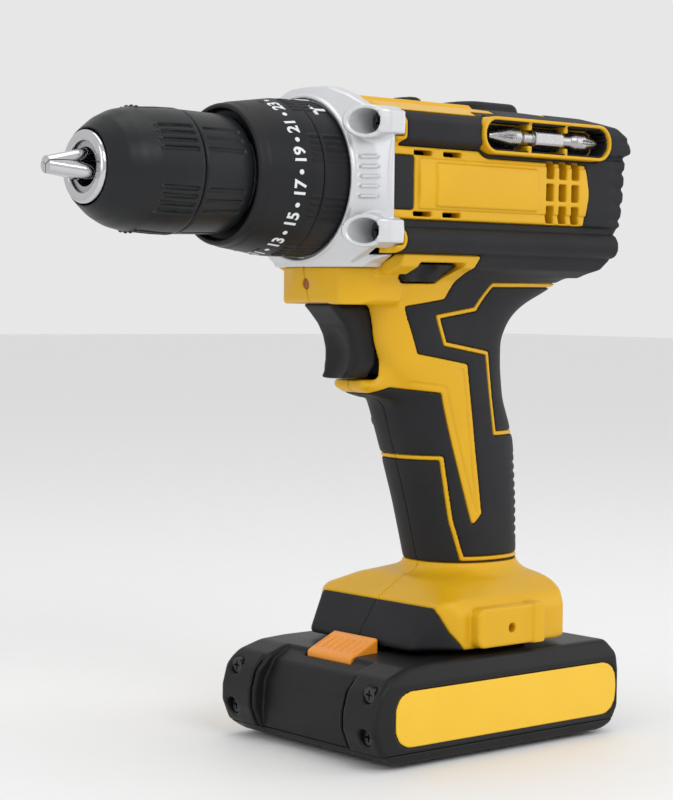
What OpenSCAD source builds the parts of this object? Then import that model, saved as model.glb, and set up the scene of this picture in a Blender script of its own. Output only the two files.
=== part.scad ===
// Cordless hammer drill and driver, standing on its slide-on battery pack.
// X points along the spindle towards the chuck, Y to the drill's left, Z up.
// The origin is on the underside of the battery pack. Units are millimetres.

/* [Drive line] */
// Height of the spindle axis above the battery's underside
spindle_z = 175.5; // [175.4:0.1:175.6]
// Module of every gear
gear_module = 0.7; // [0.69:0.005:0.705]
// Teeth on each sun gear
sun_teeth = 18; // [18]
// Teeth on each planet gear
planet_teeth = 15; // [15]
// Axial length of the planet gears
planet_len = 6; // [5.8:0.1:6]
// Radius of the output spindle
spindle_r = 6; // [5.8:0.1:6]
// Radius of the motor can
motor_r = 18.6; // [18.2:0.1:18.8]

/* [Chuck] */
// Radius of the chuck's gripping sleeves
sleeve_r = 18.2; // [18:0.1:18.4]
// Station of the closed jaws' tips
jaw_tip_x = 147; // [146.8:0.1:147.2]
// Slope of the jaws against the spindle axis, in degrees
jaw_angle = 12.5; // [12.3:0.1:12.6]
// Radius of a jaw
jaw_r = 2.4; // [2.2:0.1:2.4]
// Radius of the hole that takes a tool's shank
chuck_bore_r = 5; // [4.9:0.1:5]

/* [Collars] */
// Outer radius of the mode ring
mode_ring_r = 23.8; // [23.6:0.1:24]
// Radius of the torque ring's front rim
torque_rim_r = 20; // [19.8:0.1:20.2]

/* [Body] */
// Half width of the barrel across its side panels
barrel_half_w = 33; // [32.8:0.1:33.2]
// Thickness of the yellow shells
wall = 2.4; // [2.2:0.1:2.4]
// Thickness of the soft grip over the shells
rubber = 1.2; // [1:0.1:1.2]

/* [Battery] */
// Half width of the pack
pack_half_w = 37.5; // [37.3:0.1:37.7]
// Height of the pack's flat top
pack_h = 30.5; // [30.4:0.1:30.6]
// Radius of a cell
cell_r = 9.2; // [9:0.05:9.2]
// Pitch of the cells along the pack
cell_pitch = 18.9; // [18.7:0.1:18.9]

/* [Hidden] */
$fn = 64;

yellow = "#e9b51c";
black = "#28292d";
silver = "#c9cacd";
steel = "#9a9ca0";
orange = "#e08a1c";
copper = "#b9743a";
eps = 0.02;
gap = 0.3;                 // between pieces that move past each other
fit = 0.05;                // radial clearance of a shaft in its hole

// ---- Building blocks -------------------------------------------------------

// Children drawn along local Z stand on the spindle axis, from station x forwards.
module on_axis(x) {
  translate([x, 0, spindle_z]) rotate([0, 90, 0]) children();
}

// Cylinder on the spindle axis between two stations.
module rod_x(x0, x1, r) {
  on_axis(x0) cylinder(h = x1 - x0, r = r);
}

// Ring on the spindle axis between two stations.
module ring_x(x0, x1, r_out, r_in) {
  difference() {
    rod_x(x0, x1, r_out);
    rod_x(x0 - 1, x1 + 1, r_in);
  }
}

// Solid turned about the spindle axis from [station, radius] points.
module turned(profile) {
  on_axis(0) rotate_extrude() polygon([for (p = profile) [p[1], p[0]]]);
}

// Copies children at count equal angles about the spindle axis.
module around(count, start = 0) {
  for (i = [0:count - 1])
    translate([0, 0, spindle_z]) rotate([start + 360 * i / count, 0, 0])
      translate([0, 0, -spindle_z]) children();
}

// Prism across the drill from a side outline in X and Z, grown by off.
module side_prism(outline, y0, y1, off = 0) {
  translate([0, y1, 0]) rotate([90, 0, 0])
    linear_extrude(y1 - y0) offset(delta = off) polygon(outline);
}

// Prism along the drill from an outline in Y and Z, grown by off.
module long_prism(outline, x0, x1, off = 0) {
  translate([x0, 0, 0]) rotate([90, 0, 90])
    linear_extrude(x1 - x0) offset(delta = off) polygon(outline);
}

// Box from its lowest to its highest corner.
module box(low, high) {
  translate(low) cube(high - low);
}

// Cylinder across the drill at a point of its side view.
module cross_pin(x, z, y0, y1, r) {
  translate([x, y0, z]) rotate([-90, 0, 0]) cylinder(h = y1 - y0, r = r);
}

// Box that reaches the same distance to both sides of the middle plane.
module centred_box(x0, x1, half_w, z0, z1) {
  box([x0, -half_w, z0], [x1, half_w, z1]);
}

// Mirrors a right half outline of [y, z] points to both sides.
function both_sides(half) = concat(half, [for (i = [len(half) - 1:-1:0])
  if (half[i][0] > 0) [-half[i][0], half[i][1]]]);

module on_both_sides() {
  children();
  mirror([0, 1, 0]) children();
}

// Keeps one side of the drill: side is 1 for the left and -1 for the right.
module keep_side(side) {
  intersection() {
    children();
    box([-80, side > 0 ? 0 : -60, -10], [120, side > 0 ? 60 : 0, 220]);
  }
}

function unit(v) = v / norm(v);

// Round wire of n sides along points; no stretch of it may run along up.
module wire(points, r, n, up) {
  last = len(points) - 1;
  tangents = [for (i = [0:last])
    unit(points[min(i + 1, last)] - points[max(i - 1, 0)])];
  rings = [for (i = [0:last])
    let (a = unit(cross(tangents[i], up)), b = cross(tangents[i], a))
    for (k = [0:n - 1]) points[i] + r * (a * cos(360 * k / n) + b * sin(360 * k / n))];
  skin = [for (i = [0:last - 1]) for (k = [0:n - 1])
    let (k2 = (k + 1) % n)
    each [[i * n + k, i * n + k2, (i + 1) * n + k2],
          [i * n + k, (i + 1) * n + k2, (i + 1) * n + k]]];
  ends = [[for (k = [n - 1:-1:0]) k], [for (k = [0:n - 1]) last * n + k]];
  polyhedron(points = rings, faces = concat(skin, ends));
}

// Coil spring from start along a unit direction; side is square to it.
module coil(start, direction, side, length, r, wire_r, turns, n = 6) {
  steps = 12;
  other = cross(direction, side);
  wire([for (i = [0:turns * steps])
    let (a = 360 * i / steps)
    start + direction * (length * i / (turns * steps))
    + r * (side * cos(a) + other * sin(a))], wire_r, n, direction);
}

// ---- Gears -----------------------------------------------------------------

pressure = 20;
backlash = 0.1;            // taken off each tooth's thickness at the pitch circle
ring_teeth = sun_teeth + 2 * planet_teeth;
centre_r = gear_module * (sun_teeth + planet_teeth) / 2;
flank_steps = 3;

function involute(a) = tan(a) * 180 / PI - a;
function pitch_r(teeth) = gear_module * teeth / 2;

// Half the angle of a tooth at radius r, with slack taken off at the pitch circle.
function half_tooth(teeth, r, slack) =
  let (base = pitch_r(teeth) * cos(pressure))
  90 / teeth - slack / pitch_r(teeth) * 90 / PI + involute(pressure)
  - involute(acos(min(1, base / max(r, base))));

function polar(r, a) = [r * cos(a), r * sin(a)];

// One flank from the root outwards: side is -1 before the tooth's middle, 1 after it.
function flank(teeth, mid, tip, root, slack, side) =
  let (foot = max(root, pitch_r(teeth) * cos(pressure)))
  concat(
    foot > root ? [polar(root, mid + side * half_tooth(teeth, foot, slack))] : [],
    [for (k = [0:flank_steps])
      let (r = foot + (tip - foot) * k / flank_steps)
      polar(r, mid + side * half_tooth(teeth, r, slack))]);

// Outline of a gear with a tooth centred on local X.
function gear_outline(teeth, tip, root, slack) =
  [for (t = [0:teeth - 1])
    let (mid = 360 * t / teeth,
         rise = flank(teeth, mid, tip, root, slack, -1),
         fall = flank(teeth, mid, tip, root, slack, 1))
    each concat(rise, [for (k = [len(fall) - 1:-1:0]) fall[k]])];

// Outside gear along local Z.
module spur(teeth, length) {
  r = pitch_r(teeth);
  linear_extrude(length)
    polygon(gear_outline(teeth, r + 0.95 * gear_module, r - 1.2 * gear_module, backlash));
}

// Inside gear between two stations of the spindle axis.
module internal_gear(x0, x1, r_out) {
  r = pitch_r(ring_teeth);
  on_axis(x0) difference() {
    cylinder(h = x1 - x0, r = r_out);
    translate([0, 0, -1]) linear_extrude(x1 - x0 + 2)
      polygon(gear_outline(ring_teeth, r + 1.25 * gear_module, r - 0.7 * gear_module, -backlash));
  }
}

planet_pin_r = 1.5;
carrier_r = 15.2;
plate_t = 2.2;
first_x = 17;
first_plate_x = first_x + planet_len + 0.4;
second_x = first_plate_x + plate_t + 1.6;
second_plate_x = second_x + planet_len + 0.4;
third_x = second_plate_x + plate_t + 1.6;
third_plate_x = third_x + planet_len + 0.4;
shift_x = first_x + planet_len + 0.6;
shift_end_x = second_x + planet_len + 0.4;

// Planet gear of the stage that starts at station x; index is 0, 1 or 2.
module planet(x, index) {
  color(steel) on_axis(x) rotate([0, 0, 120 * index]) translate([centre_r, 0, 0])
    difference() {
      spur(planet_teeth, planet_len);
      translate([0, 0, -1]) cylinder(h = planet_len + 2, r = planet_pin_r + fit);
    }
}

module first_planet_1() { planet(first_x, 0); }
module first_planet_2() { planet(first_x, 1); }
module first_planet_3() { planet(first_x, 2); }
module third_planet_1() { planet(third_x, 0); }
module third_planet_2() { planet(third_x, 1); }
module third_planet_3() { planet(third_x, 2); }

module second_planets() {
  for (index = [0:2]) planet(second_x, index);
}

// Pins that carry three planets, reaching back from a plate at station x.
module planet_pins(x) {
  on_axis(x - planet_len - 0.2) for (i = [0:2]) rotate([0, 0, 120 * i])
    translate([centre_r, 0, 0]) cylinder(h = planet_len + 0.2 + eps, r = planet_pin_r);
}

// Carrier plate with its planet pins behind it and the next stage's sun in front.
module first_carrier() {
  r = pitch_r(ring_teeth);
  color(steel) union() {
    on_axis(first_plate_x) linear_extrude(plate_t)
      polygon(gear_outline(ring_teeth, r + 0.6 * gear_module, r - 1.2 * gear_module, backlash));
    planet_pins(first_plate_x);
    on_axis(first_plate_x + plate_t - eps)
      spur(sun_teeth, second_x + planet_len - first_plate_x - plate_t);
  }
}

module second_carrier() {
  color(steel) union() {
    rod_x(second_plate_x, second_plate_x + plate_t, carrier_r);
    planet_pins(second_plate_x);
    on_axis(second_plate_x + plate_t - eps)
      spur(sun_teeth, third_x + planet_len - second_plate_x - plate_t);
  }
}

// ---- Gearbox and clutch ----------------------------------------------------

case_r = 21.4;
case_bore_r = 20;
case_x = 15;
case_end_x = third_plate_x + 0.4;
fork_x = second_x + 1.9;
fork_w = 1.8;
shift_travel = 3;
ball_ring_r = 18.3;
ball_r = 1.8;
snout_r = 14.6;
snout_bore_r = 10.6;
snout_end_x = 84;
flange_x = third_plate_x + plate_t + 1.2;

module ring_gear() {
  color(steel) internal_gear(first_x - 0.3, first_x + planet_len + 0.3, case_bore_r - fit);
}

module shift_ring_gear() {
  color(steel) difference() {
    internal_gear(shift_x, shift_end_x, case_bore_r - 0.1);
    ring_x(fork_x - 0.4, fork_x + fork_w + 0.4, case_bore_r + 1, 18.7);
  }
}

module clutch_ring_gear() {
  end_x = third_x + planet_len + 0.3;
  color(steel) union() {
    internal_gear(third_x - 0.3, end_x, case_bore_r - fit);
    around(6, 30) translate([end_x - eps, 0, spindle_z + ball_ring_r + 0.3])
      rotate([0, 90, 0]) cylinder(h = 1, r = 1.2);
  }
}

module gearbox_case() {
  color(black) difference() {
    union() {
      ring_x(case_x, case_end_x, case_r, case_bore_r);
      ring_x(can_end_x + 0.1, case_x + 1.4, case_r, 8.2);
    }
    centred_box(fork_x - 0.6, fork_x + fork_w + shift_travel + 0.6, 1.6,
      spindle_z + case_bore_r - 3, spindle_z + case_r + 1);
  }
}

module shift_fork() {
  color(steel) union() {
    intersection() {
      ring_x(fork_x, fork_x + fork_w, 19.75, 18.9);
      long_prism([[0, spindle_z], [-26, spindle_z + 26], [26, spindle_z + 26]],
        fork_x - 1, fork_x + fork_w + 1);
    }
    centred_box(fork_x, fork_x + fork_w, 1.2, spindle_z + 19.4, selector_plate_z - eps);
  }
}

// Round-nosed pins that the clutch spring presses against the clutch ring gear.
module clutch_pins() {
  color(steel) around(6) translate([flange_x - 0.2, 0, spindle_z + ball_ring_r])
    rotate([0, 90, 0]) union() {
      sphere(r = ball_r, $fn = 32);
      cylinder(h = nose_end_x + 0.7 - flange_x, r = ball_r - 0.01);
    }
}

module clutch_spring() {
  x0 = nose_end_x + 1.6;
  color(steel) coil([x0, 0, spindle_z], [1, 0, 0], [0, 1, 0], 81.2 - x0, 16.6, 0.85, 6);
}

// Ball bearing between two stations: two races and nine balls.
module ball_bearing(x0, x1) {
  mid_r = (spindle_r + snout_bore_r) / 2;
  ring_x(x0, x1, snout_bore_r - 0.01, mid_r + 0.85);
  ring_x(x0, x1, mid_r - 0.85, spindle_r + fit);
  around(9) translate([(x0 + x1) / 2, 0, spindle_z + mid_r]) sphere(r = 0.84, $fn = 24);
}

module spindle_bearings() {
  color(steel) union() {
    ball_bearing(flange_x + 0.6, flange_x + 5.6);
    ball_bearing(76, 81);
  }
}

thread_end_x = 96;
thread_r = 4.76;
screw_r = 2.5;

module spindle() {
  color(steel) difference() {
    union() {
      rod_x(third_plate_x, third_plate_x + plate_t, carrier_r);
      planet_pins(third_plate_x);
      rod_x(third_plate_x + plate_t - eps, 87.9, spindle_r);
      rod_x(87, thread_end_x, thread_r);
    }
    rod_x(82, thread_end_x + 1, screw_r + fit);
  }
}

// ---- Nose casting ----------------------------------------------------------

boss_y = 29.5;
boss_dz = 16;
boss_r = 5;
nose_x = 41;
nose_end_x = 55.7;
nose_half = [[0, 149.3], [20, 149.3], [27, 153.5], [33.5, 162], [33.5, 188], [28, 196.5],
  [14, 201.8], [0, 202]];
chin_half = [[0, 149.6], [20, 149.6], [23, 153], [23.5, 159], [0, 159]];
chin_plan = [[30, -21], [52, -18], [52, -13], [nose_end_x, -9], [nose_end_x, 9], [52, 13],
  [52, 18], [30, 21]];
visor_half = [[0, 196], [15, 196], [13, 200.6], [8, 203.6], [0, 203.6]];
collar_clear_r = mode_ring_r + 0.6;

// Cylinders at the four corner bosses, between two stations.
module at_bosses(x0, x1, r) {
  for (side = [-1, 1]) for (up = [-1, 1])
    translate([x0, side * boss_y, spindle_z + up * boss_dz])
      rotate([0, 90, 0]) cylinder(h = x1 - x0, r = r);
}

module nose_casting() {
  color(silver) difference() {
    union() {
      long_prism(both_sides(nose_half), nose_x, 49.5);
      intersection() {
        turned([[49, 0], [49, 34], [50, 33.6], [nose_end_x - 1, 26], [nose_end_x, 25.4],
          [nose_end_x, 0]]);
        long_prism(both_sides(nose_half), 40, 60);
      }
      at_bosses(nose_x - 3, 60, boss_r);
      intersection() {
        long_prism(both_sides(chin_half), nose_x, nose_end_x);
        translate([0, 0, 140]) linear_extrude(30) polygon(chin_plan);
      }
      long_prism(both_sides(visor_half), nose_x, 50.5);
      rod_x(48, snout_end_x, snout_r);
    }
    rod_x(nose_x - 10, case_end_x + 0.2, case_r + 0.1);
    rod_x(nose_x - 10, flange_x - 0.2, case_bore_r + 0.4);
    rod_x(nose_x - 10, 100, snout_bore_r);
    ring_x(nose_end_x, 90, collar_clear_r, snout_r);
    around(6) translate([flange_x - 3, 0, spindle_z + ball_ring_r])
      rotate([0, 90, 0]) cylinder(h = 20, r = ball_r + 0.1);
    at_bosses(48, 70, 3.2);
    at_bosses(nose_x - 5, 49, 1.6);
  }
}

module nose_screws() {
  color(steel) difference() {
    union() {
      at_bosses(48.1, 50.6, 2.9);
      at_bosses(26, 48.2, 1.5);
    }
    for (side = [-1, 1]) for (up = [-1, 1])
      translate([50.6, side * boss_y, spindle_z + up * boss_dz]) rotate([up * 20, 0, 0]) {
        cube([2, 3.2, 0.7], center = true);
        cube([2, 0.7, 3.2], center = true);
      }
  }
}

// ---- Collars ---------------------------------------------------------------

mode_x = nose_end_x + 0.3;
torque_x = 66.4;
torque_end_x = 88;

// Groups of raised ribs along a collar.
module grip_ribs(x0, x1, r, groups, count, spacing) {
  for (i = [0:count - 1])
    around(groups, (i - (count - 1) / 2) * spacing)
      box([x0, -0.5, spindle_z + r - 0.6], [x1, 0.5, spindle_z + r + 0.35]);
}

module mode_ring() {
  color(black) union() {
    turned([[mode_x, 20.5], [mode_x, mode_ring_r - 0.6], [mode_x + 0.6, mode_ring_r - 0.1],
      [torque_x - 0.4, mode_ring_r - 0.3], [torque_x - 0.4, 20.5]]);
    grip_ribs(mode_x + 2, torque_x - 1.6, mode_ring_r - 0.3, 6, 5, 6);
  }
}

module torque_ring() {
  color(black) turned([[torque_x, 20.8], [torque_x, mode_ring_r - 0.3], [70, mode_ring_r - 0.4],
    [84, torque_rim_r + 1.3], [86.6, torque_rim_r + 0.8], [torque_end_x, torque_rim_r],
    [torque_end_x, torque_rim_r - 1], [85, torque_rim_r - 1], [85, snout_r + gap],
    [82.4, snout_r + gap], [82.4, 18.6], [70, 20]]);
}

// ---- Chuck -----------------------------------------------------------------

sleeve_split_x = 105.2;
jaw_len = 35;
jaw_travel = 22.5;
nut_x = 113.4;
nut_end_x = 119.4;

module chuck_rear_sleeve() {
  color(black) difference() {
    turned([[88.4, 15.2], [88.4, sleeve_r - 0.6], [89.2, sleeve_r - 0.3],
      [sleeve_split_x - 1, sleeve_r], [sleeve_split_x - 0.3, sleeve_r - 0.6],
      [sleeve_split_x - 0.3, 15.2]]);
    around(9) box([90, -0.4, spindle_z + sleeve_r - 0.5], [103, 0.4, spindle_z + 20]);
  }
}

module chuck_front_sleeve() {
  color(black) difference() {
    turned([[sleeve_split_x, 15.4], [sleeve_split_x, sleeve_r - 0.5],
      [sleeve_split_x + 0.6, sleeve_r + 0.1], [112, sleeve_r], [120, sleeve_r - 0.5],
      [125, 16.9], [129, 15], [132, 12.6], [134, 11], [133.6, 10.8], [131, 11.2],
      [126, 13.5], [122, 15], [119.4, 15.4]]);
    for (turn = [-9, 0, 9])
      around(6, turn) box([107.5, -0.6, spindle_z + sleeve_r - 0.7], [119.5, 0.6, spindle_z + 20]);
  }
}

module chuck_nut() {
  color(steel) turned([[nut_x, 10.5], [nut_x, 15.35], [nut_end_x, 15.35], [nut_end_x, 9.2]]);
}

module chuck_nose_ring() {
  color(silver) turned([[131.2, 8.2], [131.2, 10.5], [133.6, 10.4], [135.2, 9.7],
    [135.2, 7.2], [134.2, 7.2], [134.2, 8.2]]);
}

// Rod along a jaw's line, from back_end behind the closed tip to front_end.
module jaw_rod(back_end, front_end, r) {
  translate([jaw_tip_x, 0, spindle_z]) rotate([0, -(90 - jaw_angle), 0])
    translate([0, 0, -front_end]) cylinder(h = back_end + front_end, r = r);
}

module chuck_body() {
  color(steel) difference() {
    turned([[88, 0], [88, 12], [90, 15], [nut_x - 0.5, 15], [nut_x - 0.5, 8.6],
      [nut_end_x + 0.4, 8.6], [nut_end_x + 0.4, 12.8], [130.9, 10.2], [130.9, 8.1], [134, 8.1],
      [134, 0]]);
    rod_x(98.4, 101.3, chuck_bore_r - 0.3);
    rod_x(101.2, 113, chuck_bore_r);
    rod_x(112.9, 150, chuck_bore_r + 0.6);
    rod_x(80, thread_end_x + 0.2, thread_r + fit);
    rod_x(80, 110, screw_r + 0.3);
    around(3) jaw_rod(58.2, 10, jaw_r + 0.15);
  }
}

// Jaw whose gripping faces meet its neighbours' on the spindle axis.
module jaw(index) {
  reach = 40;
  color(steel) translate([0, 0, spindle_z]) rotate([120 * index, 0, 0])
    translate([0, 0, -spindle_z]) intersection() {
      jaw_rod(jaw_len, 5, jaw_r);
      long_prism([[0, spindle_z + 0.15], [reach * sin(60), spindle_z + 0.15 + reach * cos(60)],
        [0, spindle_z + reach], [-reach * sin(60), spindle_z + 0.15 + reach * cos(60)]],
        jaw_tip_x - 50, jaw_tip_x);
    }
}

module jaw_1() { jaw(0); }
module jaw_2() { jaw(1); }
module jaw_3() { jaw(2); }

module chuck_screw() {
  color(steel) difference() {
    union() {
      rod_x(84, 98.6, screw_r);
      rod_x(98.5, 100.9, 4.4);
    }
    translate([100.9, 0, spindle_z]) cube([2.4, 5, 0.8], center = true);
    translate([100.9, 0, spindle_z]) cube([2.4, 0.8, 5], center = true);
  }
}

// ---- Motor -----------------------------------------------------------------

can_x = -38;
can_end_x = 10;
shaft_r = 1.6;
core_r = 14.6;
magnet_r = 17.5;

module motor_can() {
  color(silver) difference() {
    rod_x(can_x, can_end_x, motor_r);
    rod_x(can_x - 1, can_end_x - 1.4, magnet_r + 0.05);
    rod_x(0, 20, shaft_r + fit);
    around(6) box([3, -3, spindle_z + 15], [7, 3, spindle_z + 20]);
  }
}

module motor_magnets() {
  color(black) intersection() {
    ring_x(-32, 1, magnet_r, core_r + 0.6);
    union() {
      for (side = [-1, 1])
        long_prism([[0, spindle_z], [side * 30, spindle_z - 50], [side * 30, spindle_z + 50]], -33, 2);
    }
  }
}

module motor_end_cap() {
  color(black) difference() {
    union() {
      difference() {
        rod_x(-44.5, can_x - 0.05, motor_r);
        rod_x(-43, can_x + 1, 15.5);
      }
      rod_x(-44, -42, 4);
      on_both_sides() box([-43.2, 5.5, spindle_z - 3], [can_x - 0.1, 15.8, spindle_z + 3]);
    }
    rod_x(-43.6, 0, shaft_r + fit);
    centred_box(-41.6, -38.6, 13, spindle_z - 1.7, spindle_z + 1.7);
  }
}

module motor_brushes() {
  color(black) on_both_sides()
    box([-41.5, 4.7, spindle_z - 1.6], [-38.7, 12, spindle_z + 1.6]);
}

// Shaft with the first sun gear cut on its end.
module motor_shaft() {
  color(steel) union() {
    rod_x(-43.5, first_x + 1, shaft_r);
    on_axis(first_x) spur(sun_teeth, planet_len);
  }
}

// Slotted iron core with its copper windings and commutator.
module armature() {
  color(copper) difference() {
    union() {
      rod_x(-30, 0, core_r);
      rod_x(-33.5, 3, 11.5);
      rod_x(-41.6, -33, 4.4);
    }
    rod_x(-50, 20, shaft_r + 0.01);
    around(5) box([-31, -1, spindle_z + 11.8], [1, 1, spindle_z + 16]);
    around(5, 36) box([-31, -1, spindle_z + 11.8], [1, 1, spindle_z + 16]);
    around(8) box([-42, -0.2, spindle_z + 3.4], [-35, 0.2, spindle_z + 5]);
  }
}

module cooling_fan() {
  color(black) difference() {
    union() {
      rod_x(3.4, 4.2, 15.2);
      rod_x(3.4, 8, 4);
      around(9) box([4, -0.5, spindle_z + 3], [7.8, 0.5, spindle_z + 14.8]);
    }
    rod_x(0, 20, shaft_r + 0.01);
  }
}

// ---- Body ------------------------------------------------------------------

// Barrel: side silhouette, and cross-section from the bottom to the ridge.
barrel_side = [[-42.7, 147.4], [-46.5, 149.5], [-49.7, 153.5], [-49.7, 159.5], [-52.5, 163.5],
  [-54, 172], [-54.6, 182], [-55.3, 188.4], [-53.2, 193.3], [-50.2, 198.3], [-45, 201],
  [-34, 202], [nose_x - 0.3, 202], [nose_x - 0.3, 140], [-42.7, 140]];
barrel_half = [[0, 147], [24, 147], [30.5, 149.5], [35, 154], [35, 160.5], [barrel_half_w, 163.6],
  [barrel_half_w, 184.5], [34.5, 186], [34.5, 194], [31, 196], [20, 199], [10, 202], [0, 202]];
// Nose under the gear case, and the lip under the trigger
chin_side = [[30, 149.2], [54.8, 149.2], [52.4, 138.8], [50.8, 137.4], [30, 137.4]];
chin_half_w = [[0, 137], [16, 137], [18, 139], [21.5, 149.2], [0, 149.2]];
chin_top = [[20, -22], [38, -18.5], [51, -13], [54.8, -8.5], [54.8, 8.5], [51, 13], [38, 18.5],
  [20, 22]];
lip_side = [[10, 106], [30, 109.8], [36, 111.2], [38.8, 112.8], [38.2, 114.2], [35.6, 115.4],
  [33.5, 119], [10, 124]];
// Handle sections: height, centre, half depth, half width, squareness
handle = [[42, -15.5, 18.6, 16.8, 2.2], [58, -12.4, 19, 16.8, 2.2], [75, -9.8, 21.1, 17, 2.3],
  [95, -5.6, 23.5, 17.3, 2.4], [108, -0.6, 22.6, 17.6, 2.5], [118, 5, 26, 17.8, 3],
  [127, 7, 27.2, 17.8, 3.6], [134, 5.4, 29.6, 18.2, 3.6], [139, 3, 34, 19, 3.6],
  [144, -1.5, 41.5, 21.5, 3.6], [149.5, -2.5, 43, 25, 3.6], [153.5, -2.5, 43, 25, 3.6]];
section_points = 40;

foot_side = [[-33, 31], [-33, 45], [-32, 50], [-31.4, 58], [7, 58], [10, 54], [22.6, 45.6],
  [31, 33.4], [31, 31]];
foot_half = [[0, 31], [barrel_half_w, 31], [barrel_half_w, 42.5], [30, 47], [22, 51], [18, 55],
  [17, 58], [0, 58]];
foot_plan = [[-33, -24], [-29, -32], [-25, -33], [16, -33], [24, -27], [31, -24], [31, 24],
  [24, 27], [16, 33], [-25, 33], [-29, 32], [-33, 24]];

function section(s, off) = [for (k = [0:section_points - 1])
  let (a = 360 * k / section_points, p = 2 / s[4])
  [s[1] + (s[2] + off) * sign(cos(a)) * pow(abs(cos(a)), p),
   (s[3] + off) * sign(sin(a)) * pow(abs(sin(a)), p), s[0]]];

// Closed loft through the handle's sections, grown by off.
module handle_loft(off) {
  n = section_points;
  last = len(handle) - 1;
  skin = [for (i = [0:last - 1]) for (k = [0:n - 1])
    let (k2 = (k + 1) % n)
    each [[i * n + k, (i + 1) * n + k2, i * n + k2],
          [i * n + k, (i + 1) * n + k, (i + 1) * n + k2]]];
  polyhedron(
    points = [for (s = handle) each section(s, off)],
    faces = concat(skin, [[for (k = [0:n - 1]) k], [for (k = [n - 1:-1:0]) last * n + k]]));
}

module barrel(off) {
  intersection() {
    side_prism(barrel_side, -60, 60, off);
    long_prism(both_sides(barrel_half), -60, 60, off);
  }
}

module foot(off) {
  intersection() {
    side_prism(foot_side, -60, 60, off);
    long_prism(both_sides(foot_half), -60, 60, off);
    translate([0, 0, 25]) linear_extrude(40) offset(delta = off) polygon(foot_plan);
  }
}

module chin(off) {
  intersection() {
    side_prism(chin_side, -60, 60, off);
    long_prism(both_sides(chin_half_w), 20, 90, off);
    translate([0, 0, 130]) linear_extrude(30) offset(delta = off) polygon(chin_top);
  }
}

// Outer form of the whole body, grown by off.
module body_form(off) {
  barrel(off);
  foot(off);
  chin(off);
  handle_loft(off);
  side_prism(lip_side, -11 - off, 11 + off, off);
}

// Strip of width w along a bent line, in the side view.
module strip(points, w) {
  for (i = [0:len(points) - 2])
    let (d = points[i + 1] - points[i])
    translate(points[i]) rotate(atan2(d[1], d[0]))
      translate([-w / 2, -w / 2]) square([norm(d) + w, w]);
}

piping_w = 1.3;
upper_piping = [[-60, 144.8], [-4.9, 144.3], [-0.5, 136.6], [15, 134.2], [11.4, 125.7],
  [-7.4, 122.7], [-11.5, 97], [-40, 97]];
lower_piping = [[60, 90.4], [13.3, 89.5], [7.3, 69.4], [2.3, 57], [-40, 57]];
flank_yellow = [[90, 153.2], [4.2, 153.2], [12.6, 139.7], [27.7, 137.4], [22, 122.6], [1.8, 119.3],
  [-6.4, 71.4], [-3.2, 67.8], [11.6, 110.4], [26.8, 112.2], [34, 110], [90, 110]];
panel_yellow = [[90, 163.6], [-36, 163.6], [-37, 173], [-36, 184.6], [90, 184.6]];
ridge_yellow = [[90, 198.6], [-3, 198.6], [-6, 210], [90, 210]];
foot_yellow = [[-60, 20], [15, 20], [15, 31], [19, 36], [23, 42], [26, 60], [11, 55.6],
  [-60, 55.6]];

// Where the yellow shells show, seen from the side.
module yellow_pattern() {
  difference() {
    union() {
      polygon(flank_yellow);
      polygon(panel_yellow);
      polygon(ridge_yellow);
      polygon(foot_yellow);
      strip(upper_piping, piping_w);
      strip(lower_piping, piping_w);
    }
    translate([38, 165.5]) square([10, 17.5]);
  }
}

module pattern_prism(grow) {
  translate([0, 60, 0]) rotate([90, 0, 0]) linear_extrude(120) offset(delta = grow) yellow_pattern();
}

tray_x = -43;
tray_end_x = 12;
tray_z = 190;
tray_half = 4.7;
button_side = [[41.5, 149], [40.6, 145], [38.2, 143.4], [28.6, 143.8], [24, 149]];
selector_plate_z = spindle_z + case_r + 0.3;
trigger_z0 = 114.4;
trigger_z1 = 138.2;
tongue_neck = 16.5;
belt_screw = [-1.4, 37.8];
tray_y = 27.6;
light_z = 144;

// Openings cut through shells and grip alike.
module body_openings() {
  on_both_sides() {
    // Tray for a driver bit
    box([tray_x + tray_half, tray_y, tray_z - tray_half],
      [tray_end_x - tray_half, 50, tray_z + tray_half]);
    cross_pin(tray_x + tray_half, tray_z, tray_y, 50, tray_half);
    cross_pin(tray_end_x - tray_half, tray_z, tray_y, 50, tray_half);
    // Cooling vents: three rows of three
    for (x = [-32, -26.2, -20.4]) for (z = [166.4, 173.4, 180.4])
      box([x - 1.5, 25, z - 2.6], [x + 1.5, 50, z + 2.6]);
    // Air slots beside the gear case
    for (x = [19, 31]) for (z = [163.9, 184.2])
      box([x, 25, z - 0.7], [x + 8, 50, z + 0.7]);
  }
  side_prism(button_side, -40, 40, gap);
  centred_box(25, 70, 8.1, trigger_z0, trigger_z1);
  centred_box(5.2, 22.9, 5, 196, 210);
  at_bosses(nose_x - 3.3, 70, boss_r + gap);
  centred_box(-27.2, 15.7, tongue_neck + 0.1, 28, 38);
  translate([49.6, 0, light_z]) rotate([0, 90, 0]) cylinder(h = 10, r = 1.55);
  translate([49.6, 0, light_z]) rotate([0, 90, 0]) cylinder(h = 1.3, r = 2.35);
}

screw_posts = [[-24, 152], [5, 150.4], [45.6, 143.6], [-12, 90], [11, 101], [-22.5, 40], [8, 49]];
head_y = -12;
rib_xs = [-30, -6, 38];
post_r = 3.4;

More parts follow.
